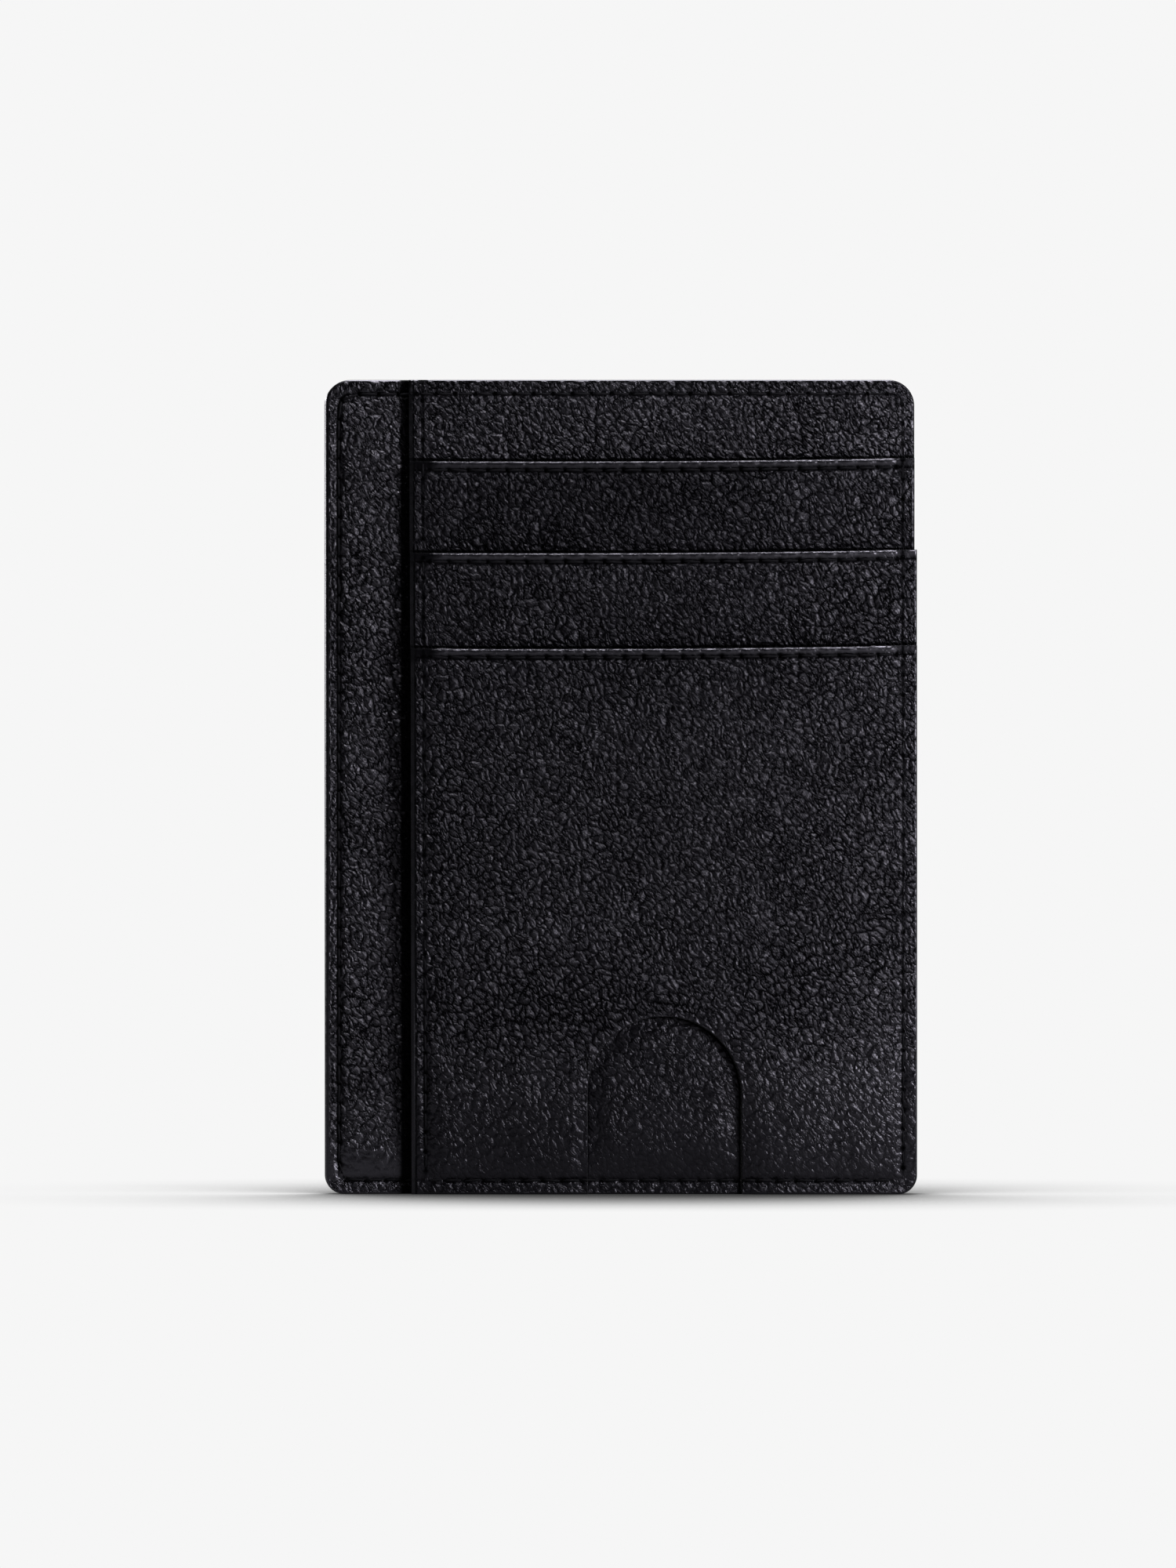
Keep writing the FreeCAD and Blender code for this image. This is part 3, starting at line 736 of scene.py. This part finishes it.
def leather(tree):
    """Black pebble-grained leather with a soft finish, dark in its creases."""
    place = {0: attribute(tree, "skin_u"), 1: attribute(tree, "skin_v")}
    skin = add(tree, "ShaderNodeCombineXYZ", place).outputs[0]
    relief, paint = attribute(tree, "relief"), attribute(tree, "paint")
    fine, painted_shade = attribute(tree, "fine"), attribute(tree, "painted_shade")

    # The grain: pebbles with creases between them, each sloping its own way, and wrinkles.
    pebbles = pebble_space(tree, skin)
    edge = edge_distance(tree, pebbles)
    hollow = calc(tree, "MULTIPLY", remap(tree, edge, 0.0, DOME, 1.0, 0.0), relief)
    tilt = calc(tree, "MULTIPLY", pebble_tilt(tree, pebbles), relief)
    softened = {0: fine, 2: remap(tree, edge, 0.01, 0.13, 1.0, 0.0), 3: 0.25}
    sharp = add(tree, "ShaderNodeMix", softened, data_type="FLOAT").outputs[0]
    crease = calc(tree, "MULTIPLY", sharp, relief)
    bent = warped(tree, warped(tree, skin, 0.25, 1.3), 1.6, 0.32)
    fold = edge_distance(tree, cell_space(tree, bent, WRINKLE, 1.7))
    bunched = remap(tree, flat_noise(tree, skin, 0.4), 0.35, 0.65, 0.55, 1.15)
    wrinkle = calc(tree, "MULTIPLY", remap(tree, fold, 0.0, 0.34, 1.0, 0.0),
                   calc(tree, "MULTIPLY", bunched, relief))

    # Patchy black with painted shade, darker in the creases and where no light gets, and edge paint
    # at the edges.
    dark = calc(tree, "MULTIPLY_ADD", wrinkle, 0.45, calc(tree, "MULTIPLY", crease, 0.38))
    tint = ramp(tree, flat_noise(tree, skin, 0.11, 3.0), (0.30, (0.0040, 0.0038, 0.0052)),
                (0.52, (0.0058, 0.0055, 0.0074)), (0.72, (0.0080, 0.0076, 0.0100)))
    shade = ramp(tree, calc(tree, "MAXIMUM", dark, painted_shade), (0.0, 1.0), (0.9, 0.1))
    shaded = add(tree, "ShaderNodeMix", {0: 1.0, 6: tint, 7: shade}, data_type="RGBA",
                 blend_type="MULTIPLY").outputs[2]
    painted = add(tree, "ShaderNodeMix", {0: paint, 6: shaded, 7: (0.006, 0.006, 0.007, 1)},
                  data_type="RGBA").outputs[2]
    gloss = ramp(tree, flat_noise(tree, skin, 0.9, 4.0), (0.3, 0.27), (0.7, 0.37))
    rough = calc(tree, "MULTIPLY_ADD", dark, 0.12, gloss)

    # Relief too fine for the mesh: the height in mm of each part of the grain.
    pores = calc(tree, "MULTIPLY", flat_noise(tree, skin, 5.5, 3.0, 0.65), relief)
    swell = calc(tree, "MULTIPLY", flat_noise(tree, skin, 0.8, 1.0), relief)
    height = calc(tree, "MULTIPLY", pores, 0.038)
    for part, amount in ((swell, 0.4), (wrinkle, -0.055), (tilt, 0.33), (hollow, -0.12),
                         (crease, -0.025)):
        height = calc(tree, "MULTIPLY_ADD", part, amount, height)

    # The finish shines on top of the pebbles. In the creases and hollows and under painted shade
    # its shine is turned down, a painted shade on the reflections, and it is scaled by the painted
    # light of each place.
    shadowed = calc(tree, "MAXIMUM", calc(tree, "MULTIPLY_ADD", hollow, 0.35, dark), painted_shade)
    shine = remap(tree, shadowed, 0.04, 0.85, 0.6, 0.02)
    return {"Base Color": painted,
            "Roughness": calc(tree, "MULTIPLY_ADD", paint, -0.05, rough),
            "Normal": bump(tree, height, MM, 1.0),
            "Specular IOR Level": calc(tree, "MULTIPLY", shine, attribute(tree, "painted_sheen")),
            "Specular Tint": SPECULAR_TINT}


def twill(tree):
    """Fine black lining: two crossed sets of ribs, one stronger, and some fluff."""
    colour, threads_per_metre = (0.020, 0.020, 0.023), 900
    ribs = []
    for angle, scale in ((45, threads_per_metre), (-45, threads_per_metre * 0.8)):
        inputs = {"Vector": coordinates(tree, angle=angle), "Scale": scale, "Distortion": 0.4,
                  "Detail": 2.0}
        ribs.append(add(tree, "ShaderNodeTexWave", inputs, bands_direction="X").outputs["Fac"])
    weave = calc(tree, "ADD", ribs[0], calc(tree, "MULTIPLY", ribs[1], 0.4))
    fluff = noise_node(tree, coordinates(tree), 2600, 4)["Fac"]
    ribbed = bump(tree, weave, 0.00005, 0.8)
    return {"Base Color": ramp(tree, weave, (0.2, tuple(c * 0.45 for c in colour)), (1.0, colour)),
            "Roughness": ramp(tree, fluff, (0.3, 0.7), (0.7, 0.95)),
            "Normal": bump(tree, fluff, 0.00003, 0.5, ribbed),
            "Sheen Weight": 0.15}


def fibre_board(tree):
    """Bonded leather fibre: short pale fibres in a dark brown board."""
    fibres = noise_node(tree, coordinates(tree, (1, 1, 4), 20), 1400, 6, 0.7)["Fac"]
    return {"Base Color": ramp(tree, fibres, (0.3, (0.012, 0.010, 0.008)),
                               (0.7, (0.035, 0.028, 0.021))),
            "Roughness": ramp(tree, fibres, (0.3, 0.95), (0.7, 0.7)),
            "Normal": bump(tree, fibres, 0.00006, 0.6)}


def thread(tree):
    """Black bonded thread: dark between the plies, a slight shine on the filaments."""
    filaments = noise_node(tree, coordinates(tree, angle=30), 9000)["Fac"]
    return {"Base Color": ramp(tree, filaments, (0.3, (0.002, 0.002, 0.0025)),
                               (0.7, (0.005, 0.005, 0.006))),
            "Roughness": ramp(tree, filaments, (0.3, 0.8), (0.7, 0.62)),
            "Normal": bump(tree, filaments, 0.00002, 0.5),
            "Specular IOR Level": 0.18,
            "Specular Tint": SPECULAR_TINT}


LEATHER = finished_material("black_pebbled_leather", leather)
LINING = finished_material("black_twill_lining", twill)
BOARD = finished_material("bonded_fibre_board", fibre_board)
THREAD = finished_material("black_bonded_thread", thread)


# ---------------- the leather pieces
THINNEST = 0.12  # of a leather under a seam's groove
THINNEST_POCKET = 0.15
SEWN_REACH = 1.1  # how far a sewn side reaches down to the layer behind it
NO_FOLD = np.inf  # gap of the folded edge of a panel that has none


def finish_piece(piece, node):
    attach(piece, "root")
    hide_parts(node)


def level_row(name):
    """A slot seam's holes as they would be if the slot's edge were level."""
    holes = ROW_HOLES[name]
    return holes - np.stack([np.zeros(len(holes)), edge_sag(holes[:, 0])], axis=1)


def perimeter_seam(x, z):
    return np.abs(rim(x, z, RIGHT) - SEAM_INSET), PERIMETER_HOLES


def stack_seams(x, z):
    """The seams through the whole stack: around the outline and down the free edge."""
    hem_x = HEM_X + HEM_SLANT * (1 - z / HEIGHT)
    return [perimeter_seam(x, z), (np.abs(x - hem_x), HEM_HOLES)]


def painted_gap_shade(x, z, next_edge):
    """Painted shade: 1 in the narrow gap above the edge of the next panel."""
    return smooth(0.6, 0.3, z - next_edge - edge_sag(x))


def closed_sides(back, gap_left, gap_right):
    """A back surface that reaches down to the layer behind it where the sides are sewn."""
    return back - SEWN_REACH * np.maximum(smooth(2.4, 1.3, gap_left), smooth(2.4, 1.3, gap_right))


def left_shade(gap_left, gap_top):
    """1 in the crease along the stack's free edge, and where a slot's edge sinks beside it."""
    sunk = 0.6 * smooth(4.4, 2.8, gap_left) * smooth(2.4, 1.5, gap_top)
    return np.maximum(0.85 * bell(gap_left - FREE_CREASE, 0.17), sunk)


def lit_fold(x, gap_top):
    """How much the shine of a folded edge is raised above that of the leather below it, away from
    its left end: a painted highlight along the fold.
    """
    return 1 + 0.8 * smooth(1.0, 0.5, gap_top) * smooth(STACK_LEFT + 3.5, STACK_LEFT + 5, x)


def folded_edge(out, x, gap_left, gap_top, row):
    """Presses the crease along the free edge and the pleats of the slot's edge into a face."""
    return out - 0.16 * bell(gap_left - FREE_CREASE, 0.18) - pleats(x, gap_top, row)


def build_slot(panel, name, next_edge):
    """A slot leather: folded top edge, cut sides, and a lower end hidden by the next."""
    x, z, active = lattice(lines(panel.x0, panel.x1, 0.25, True, True),
                           lines(panel.z0, panel.z1, 0.25, False, True))
    bend = edge_sag(x) * smooth(panel.z0, panel.z1, z)
    gap_left, gap_right, gap_top = x - panel.x0, panel.right - x, panel.z1 - z
    row = level_row(name)
    seams = stack_seams(x, z) + [(np.abs(gap_top - EDGE_SEAM_DROP), row)]
    edges = [(gap_left, 0.4, 0.75), (gap_right, 0.25, 0.35), (gap_top, 0.42, 0.2)]
    fine = 0.6 * smooth(-0.2, 0.5, noise(x, z, 11.0, panel.seed + 2))
    quiet = 0.8 * smooth(1.4, 0.8, gap_top)
    # Painted shade in the gap above the next panel's edge and along the free edge.
    painted_shade = np.maximum(painted_gap_shade(x, z + bend, next_edge), left_shade(gap_left, gap_top))
    out, values = face(panel, x, z, seams, edges, fine, quiet, painted_shade)
    # Painted highlight along the folded edge.
    values["painted_sheen"] = values["painted_sheen"] * lit_fold(x, gap_top)
    back = panel.back(z)
    out = np.maximum(folded_edge(out, x, gap_left, gap_top, row), back + THINNEST)
    return leather_slab(f"{name}_slot_leather", lean(x, z), z + bend, out,
                        closed_sides(back, gap_left, gap_right), values, active, fold_top=True)


def build_header():
    """The header band, with cut edges and a lower end hidden by the top slot."""
    x, z, active = lattice(lines(header.x0, header.x1, 0.25, True, True),
                           lines(header.z0, header.z1, 0.25, False, True))
    x = rounded(x, z, header.right, False, True)
    gap_left = x - header.x0
    edge = np.minimum(gap_left, rim(x, z, header.right))
    edges = [(edge, 0.25, 0.3), (gap_left, 0.35, 0.7)]
    fine = 0.5 * smooth(-0.2, 0.6, noise(x, z, 9.0, 5))
    # Painted shade in the gap above the top slot's edge and along the free edge.
    painted_shade = np.maximum(painted_gap_shade(x, z, top.z1), left_shade(gap_left, NO_FOLD))
    out, values = face(header, x, z, stack_seams(x, z), edges, fine, np.zeros(x.shape), painted_shade)
    back = header.back(z)
    out = np.maximum(out, back + THINNEST)
    return leather_slab("header_leather", lean(x, z), z, out, back, values, active)


def pocket_lattice():
    """The front pocket's lattice. Columns between the notch's sides follow its round, and
    relax to an even spacing above it."""
    step, turns = 0.26, 120
    left_columns = lines(pocket.x0, NOTCH_X - NOTCH_RADIUS, step, True, True)
    right_columns = lines(NOTCH_X + NOTCH_RADIUS, pocket.x1, step, True, True)
    arc = NOTCH_X - NOTCH_RADIUS * np.cos(np.linspace(0, math.pi, turns + 1))
    even = np.linspace(arc[0], arc[-1], turns + 1)
    low_rows = lines(0, NOTCH_CENTRE, step, True, False)
    high_rows = lines(NOTCH_CENTRE, pocket.z1, step, True, True)
    zs = np.concatenate([low_rows, high_rows[1:]])
    x, z, active = lattice(np.concatenate([left_columns, arc[1:], right_columns[1:]]), zs)
    first = len(left_columns) - 1
    active[first:first + turns, :len(low_rows) - 1] = False
    relax = smooth(0, 25, zs - NOTCH_CENTRE)[None, :]
    x[first:first + turns + 1] = arc[:, None] * (1 - relax) + even[:, None] * relax
    lift = np.sqrt(np.maximum(NOTCH_RADIUS ** 2 - (x - NOTCH_X) ** 2, 0))
    share = np.clip(1 - (z - NOTCH_CENTRE) / (pocket.z1 - NOTCH_CENTRE), 0, 1) ** 2
    z = np.where(z >= NOTCH_CENTRE, z + lift * share, z)
    return rounded(x, z, pocket.right, False, True), z, active


def build_pocket():
    """The front pocket, with its thumb notch. Its grain is finest right of the middle, and
    pressed smoother towards the lower seam."""
    x, z, active = pocket_lattice()
    gap_left, gap_top, gap_notch = x - pocket.x0, pocket.z1 - z, notch_gap(x, z)
    outer = np.minimum(gap_left, rim(x, z, pocket.right))
    row = level_row("pocket")
    seams = stack_seams(x, z) + [(np.abs(gap_top - EDGE_SEAM_DROP), row)]
    edges = [(outer, 0.28, 0.35), (gap_left, 0.45, 0.85), (gap_top, 0.48, 0.2),
             (gap_notch, 0.22, 0.15)]
    pressed = (0.48 * smooth(26, 10, z) + 0.2 * smooth(9, 2.5, z)) * smooth(1.0, 2.4, z)
    quiet = np.max([0.8 * smooth(1.4, 0.8, gap_top), pressed, 0.45 * smooth(3.0, 1.5, z),
                    0.4 * smooth(0.9, 0.3, gap_notch)], axis=0)
    centre_right = np.exp(-((x - 14) / 17) ** 2 - ((z - 52) / 17) ** 2)
    fine = np.clip(0.95 * centre_right + 0.25 * noise(x, z, 10.0, 3), 0, 1)
    out, values = face(pocket, x, z, seams, edges, fine, quiet, left_shade(gap_left, gap_top))
    # Painted shade on the reflections: the shine is turned down low on the pocket and near its top,
    # and raised along the fold as a painted highlight.
    height_shade = np.interp(z, [5, 9, 14, 19, 50, 68], [0.70, 0.74, 0.86, 1.0, 1.0, 0.86])
    values["painted_sheen"] = values["painted_sheen"] * height_shade * lit_fold(x, gap_top)
    out = folded_edge(out, x, gap_left, gap_top, row) - 0.34 * smooth(3.5, 0.0, gap_notch) ** 1.5
    back = pocket.back(z)
    out = np.maximum(out, back + THINNEST_POCKET)
    bend = edge_sag(x) * smooth(50, pocket.z1, z)
    return leather_slab("front_pocket_leather", lean(x, z), z + bend, out,
                        closed_sides(back, gap_left, pocket.right - x), values, active,
                        fold_top=True)


def build_facing():
    """The facing fills the notch, with a painted shadow line where it goes under the pocket's
    edge, widest on the right, where the edge stands between it and the key light."""
    left = facing.x0 + 0.2
    x, z, active = lattice(lines(left, facing.x1 - 0.1, 0.28, True, True),
                           lines(0, facing.z1, 0.28, True, False))
    x = rounded(x, z, facing.right, False, True)
    edge = np.minimum(x - left, rim(x, z, facing.right))
    gap_notch = notch_gap(x, z)
    fine = 0.2 + 0.2 * noise(x, z, 8.0, 9)
    quiet = 0.3 + 0.2 * smooth(17, 8, z) + 0.2 * smooth(9, 2.5, z) * smooth(1.0, 2.4, z)
    # Painted shadow of the pocket's edge on the facing.
    right_side = smooth(-3.0, 6.0, x - NOTCH_X)
    line = smooth(0.12 + 0.45 * right_side, 0.05 + 0.2 * right_side, -gap_notch)
    painted_shade = line * np.maximum(0.35 + 0.65 * right_side, 0.85 * smooth(15, 9, z))
    out, values = face(facing, x, z, [perimeter_seam(x, z)], [(edge, 0.25, 0.3)], fine, quiet, painted_shade)
    back = facing.back(z)
    out = np.clip(out, back + THINNEST, back + FACING_LEATHER + 0.04)
    out = out + 0.22 * smooth(1.0, -0.5, gap_notch) * smooth(2.5, 6, z)
    out = out + 0.45 * smooth(-0.2, -3.5, gap_notch) * smooth(2.5, 8, z)
    return leather_slab("thumb_facing_leather", lean(x, z), z, out, back, values, active)


def build_strip():
    """The strip. Its grain fades towards the lower seam and under the stack."""
    x, z, active = lattice(lines(strip.x0, strip.x1, 0.25, True, False),
                           lines(0, HEIGHT, 0.25, True, True))
    x = rounded(x, z, strip.right, True, False)
    out_of_reach = RIGHT + 5
    edges = [(rim(x, z, out_of_reach), 0.35, 0.35), (x - LEFT, 0.6, 0.95)]
    fine = np.clip(0.35 + 0.4 * noise(x, z, 9.0, 21), 0, 1)
    quiet = np.max([0.85 * smooth(9.0, 3.5, z) * smooth(1.4, 2.2, z), 0.3 * smooth(16, 7, z),
                    0.9 * smooth(STACK_LEFT - 0.4, STACK_LEFT + 0.4, x)], axis=0)
    # Painted shadow on the strip beside the stack's free edge.
    painted_shade = smooth(STACK_LEFT - 1.8, STACK_LEFT - 0.9, x)
    out, values = face(strip, x, z, [perimeter_seam(x, z)], edges, fine, quiet, painted_shade)
    back = strip.back(z)
    cap = np.where(x > STACK_LEFT - 0.2, back + STRIP_LEATHER, np.inf)
    out = np.clip(out, back + THINNEST, cap)
    return leather_slab("side_strip_leather", lean(x, z), z, out, back, values, active)


def build_cover():
    """The back cover, with its face to the back."""
    x, z, active = lattice(lines(LEFT, cover.right, 0.33, True, True),
                           lines(0, HEIGHT, 0.33, True, True))
    x = rounded(x, z, cover.right, True, True)
    fine = np.clip(0.3 + 0.5 * noise(x, z, 14.0, 31), 0, 1)
    edges = [(rim(x, z, cover.right), 0.3, 0.4)]
    out, values = face(cover, x, z, [perimeter_seam(x, z)], edges, fine, np.zeros(x.shape))
    inner = np.full(x.shape, COVER[0][1])
    return leather_slab("back_cover_leather", lean(x, z), z, out, inner, values, active, sign=-1)


for node_name, made in (("back_cover", build_cover()), ("side_strip", build_strip()),
                        ("header_panel", build_header()),
                        ("top_slot_panel", build_slot(top, "top", middle.z1)),
                        ("middle_slot_panel", build_slot(middle, "middle", pocket.z1)),
                        ("thumb_facing", build_facing()),
                        ("front_pocket_panel", build_pocket())):
    finish_piece(made, node_name)


# ---------------- stitches
STITCH_RINGS = 13
STITCH_SIDES = 10
PLIES = 3
TURNS_PER_MM = 0.8 / PLIES  # of the plies about the thread


def front_level(x, z):
    """Level of whichever leather is on top at one place of the front."""
    if x < STACK_LEFT:
        panel = strip
    elif z > SLOT_EDGES["top"] + edge_sag(x):
        panel = header
    elif z > SLOT_EDGES["middle"] + edge_sag(x):
        panel = top
    elif z > SLOT_EDGES["pocket"] + edge_sag(x):
        panel = middle
    elif notch_gap(x, z) < 0:
        panel = facing
    else:
        panel = pocket
    return float(panel.level(x, z))


def stitch_surface(start, end, level, random):
    """Places x, out and z on rings round one twisted stitch, which sinks at both ends."""
    length = math.hypot(*(end - start))
    dx, dz = (end - start) / length
    mx, mz = (start + end) / 2
    reach = length / 2 - 0.16
    tilt = random.normal(0, 0.03)
    t = np.linspace(0, 1, STITCH_RINGS)
    px = mx + (dx - dz * tilt) * (2 * t - 1) * reach
    pz = mz + (dz + dx * tilt) * (2 * t - 1) * reach
    levels = np.array([level(a, b) for a, b in zip(px, pz)])
    levels = np.minimum(levels, np.interp(t, [0, 1], [levels[1], levels[-2]]) + 0.3)
    rise = -0.62 + 0.36 * np.sin(math.pi * np.clip(t, 0.02, 0.98)) ** 0.45
    slim = THREAD_RADIUS * (0.72 + 0.28 * np.sin(math.pi * t) ** 0.5)
    twist = 2 * math.pi * TURNS_PER_MM * length * t + random.uniform(0, 6) / PLIES
    theta = np.linspace(0, 2 * math.pi, STITCH_SIDES, endpoint=False)[None, :]
    radius = slim[:, None] * (1 + 0.13 * np.cos(PLIES * (theta - twist[:, None])))
    across = radius * np.cos(theta)
    x, z = px[:, None] - dz * across, pz[:, None] + dx * across
    return lean(x, z), (levels + rise)[:, None] + radius * np.sin(theta), z


def stitch_faces(base):
    """The side quads and the two end caps of a stitch whose first point is number base."""
    ring = np.arange(STITCH_SIDES)
    nxt = np.roll(ring, -1)
    starts = base + STITCH_SIDES * np.arange(STITCH_RINGS)
    faces = []
    for here, there in zip(starts, starts[1:]):
        faces += np.stack([here + ring, here + nxt, there + nxt, there + ring], axis=1).tolist()
    return faces + [(starts[0] + ring)[::-1].tolist(), (starts[-1] + ring).tolist()]


def thread_piece(name, node, holes, level, seed, sign=1):
    """Stitches of twisted thread between neighbouring holes. sign is -1 on the back."""
    random = np.random.default_rng(seed)
    points, faces = [], []
    for number, (start, end) in enumerate(zip(holes, holes[1:])):
        x, out, z = stitch_surface(start, end, level, random)
        points.append(np.stack([x.ravel(), (-sign * out).ravel(), z.ravel()], axis=1))
        faces += stitch_faces(number * STITCH_RINGS * STITCH_SIDES)
    if sign < 0:
        faces = [f[::-1] for f in faces]
    finish_piece(make_mesh(name, np.concatenate(points), faces, {}, THREAD), node)


thread_piece("perimeter_thread_front", "perimeter_stitching_front", PERIMETER_HOLES, front_level, 3)
thread_piece("perimeter_thread_back", "perimeter_stitching_back", PERIMETER_HOLES, cover.level, 4,
             sign=-1)
thread_piece("free_edge_thread", "free_edge_stitching", HEM_HOLES, front_level, 5)
for row_seed, row, owner in ((6, "top", "top_slot"), (7, "middle", "middle_slot"),
                             (8, "pocket", "front_pocket")):
    thread_piece(f"{row}_edge_thread", f"{owner}_stitching", ROW_HOLES[row], front_level, row_seed)


# ---------------- carried-over CAD nodes
def dress(nodes, material):
    for node in nodes:
        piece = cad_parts[node]
        piece.data.materials.clear()
        piece.data.materials.append(material)


dress(["back_lining", "front_lining", "header_lining", "top_slot_lining", "middle_slot_lining",
       "front_pocket_lining"], LINING)
dress(["back_stiffener"], BOARD)
dress(["top_slot_floor_stitching", "middle_slot_floor_stitching", "facing_stitching",
       "strip_stitching"], THREAD)


# ---------------- floor, light and camera
PALE = 0.9216  # linear value of the pale grey floor and background
SHADOW_REACH = 0.066  # metres from the holder to where its contact shadow ends
# Tone of the painted contact shadow beside the floor's openness to the sky, from close by the
# holder to far off.
SHADOW_STOPS = [(0.52, 0.05), (0.634, 0.15), (0.753, 0.34), (0.852, 0.62), (0.932, 0.86),
                (0.99, 1.0)]


def seen_or_lit(tree, seen, lit, kind):
    """Links one shader to the output for what the camera sees, another for its light."""
    path = add(tree, "ShaderNodeLightPath").outputs["Is Camera Ray"]
    mix = add(tree, "ShaderNodeMixShader", {0: path, 1: lit.outputs[0], 2: seen.outputs[0]})
    add(tree, kind, {0: mix.outputs[0]})


def build_stage():
    """A pale floor that glows to the camera, with a soft contact shadow painted into that glow from
    how open the floor is to the sky. Its own light on the holder is weak.
    """
    mesh = bpy.data.meshes.new("floor")
    mesh.from_pydata([(-3, -3, 0), (3, -3, 0), (3, 3, 0), (-3, 3, 0)], [], [(0, 1, 2, 3)])
    material = bpy.data.materials.new("pale_floor")
    material.use_nodes = True
    tree = material.node_tree
    tree.nodes.clear()
    openness = add(tree, "ShaderNodeAmbientOcclusion", {"Distance": SHADOW_REACH}, samples=16)
    tones = [(at, tone * PALE) for at, tone in SHADOW_STOPS]
    contact = ramp(tree, openness.outputs["AO"], *tones)
    glow = add(tree, "ShaderNodeEmission", {"Color": contact})
    soft = add(tree, "ShaderNodeBsdfDiffuse", {"Color": (0.25, 0.25, 0.25, 1)})
    seen_or_lit(tree, glow, soft, "ShaderNodeOutputMaterial")
    mesh.materials.append(material)
    show("floor", mesh)


def build_world():
    """A pale background that lights the holder only faintly."""
    world = bpy.data.worlds.new("studio")
    world.use_nodes = True
    bpy.context.scene.world = world
    tree = world.node_tree
    tree.nodes.clear()
    seen = add(tree, "ShaderNodeBackground", {"Color": (PALE, PALE, PALE, 1)})
    fill = add(tree, "ShaderNodeBackground", {"Color": (0.95, 0.96, 1.0, 1), "Strength": 0.004})
    seen_or_lit(tree, seen, fill, "ShaderNodeOutputWorld")


# Soft boxes for the front: place, size in metres and power in watts. The back has the same
# ones, half a turn round the holder.
LIGHTS = {
    "key": ((0.32, -0.26, 0.14), 0.14, 0.80),
    "right": ((0.15, -0.12, 0.07), 0.07, 0.07),
    "top": ((0.03, -0.08, 0.45), 0.20, 0.95),
    "high": ((0.05, -0.20, 0.75), 0.25, 0.30),
}


def soft_light(name, place, size, power):
    """A square soft box, aimed at the middle of the holder."""
    data = bpy.data.lights.new(name, "AREA")
    data.shape = "SQUARE"
    data.size = size
    data.energy = power
    light = show(name, data)
    light.location = place
    x, y, z = np.array((0, 0, HEIGHT * MM / 2)) - np.array(place)
    light.rotation_euler = (math.atan2(math.hypot(x, y), -z), 0, math.atan2(-x, y))


def build_camera():
    """A long lens square on to the front, a little left of the middle."""
    distance, view_height = 1.6, 0.2114
    data = bpy.data.cameras.new("camera")
    data.sensor_fit = "VERTICAL"
    data.sensor_height = 36.0
    data.lens = data.sensor_height * distance / view_height
    data.clip_end = 20
    camera = show("camera", data)
    camera.location = (-0.0044, POCKET[0][1] * MM - distance, 0.0554)
    camera.rotation_euler = (math.radians(90), 0, 0)
    bpy.context.scene.camera = camera


build_stage()
build_world()
for side_name, turn in (("front", 1), ("back", -1)):
    for light_name, ((px, py, pz), size, power) in LIGHTS.items():
        soft_light(f"{light_name}_{side_name}", (turn * px, turn * py, pz), size, power)
build_camera()
bpy.context.scene.view_settings.view_transform = "Standard"
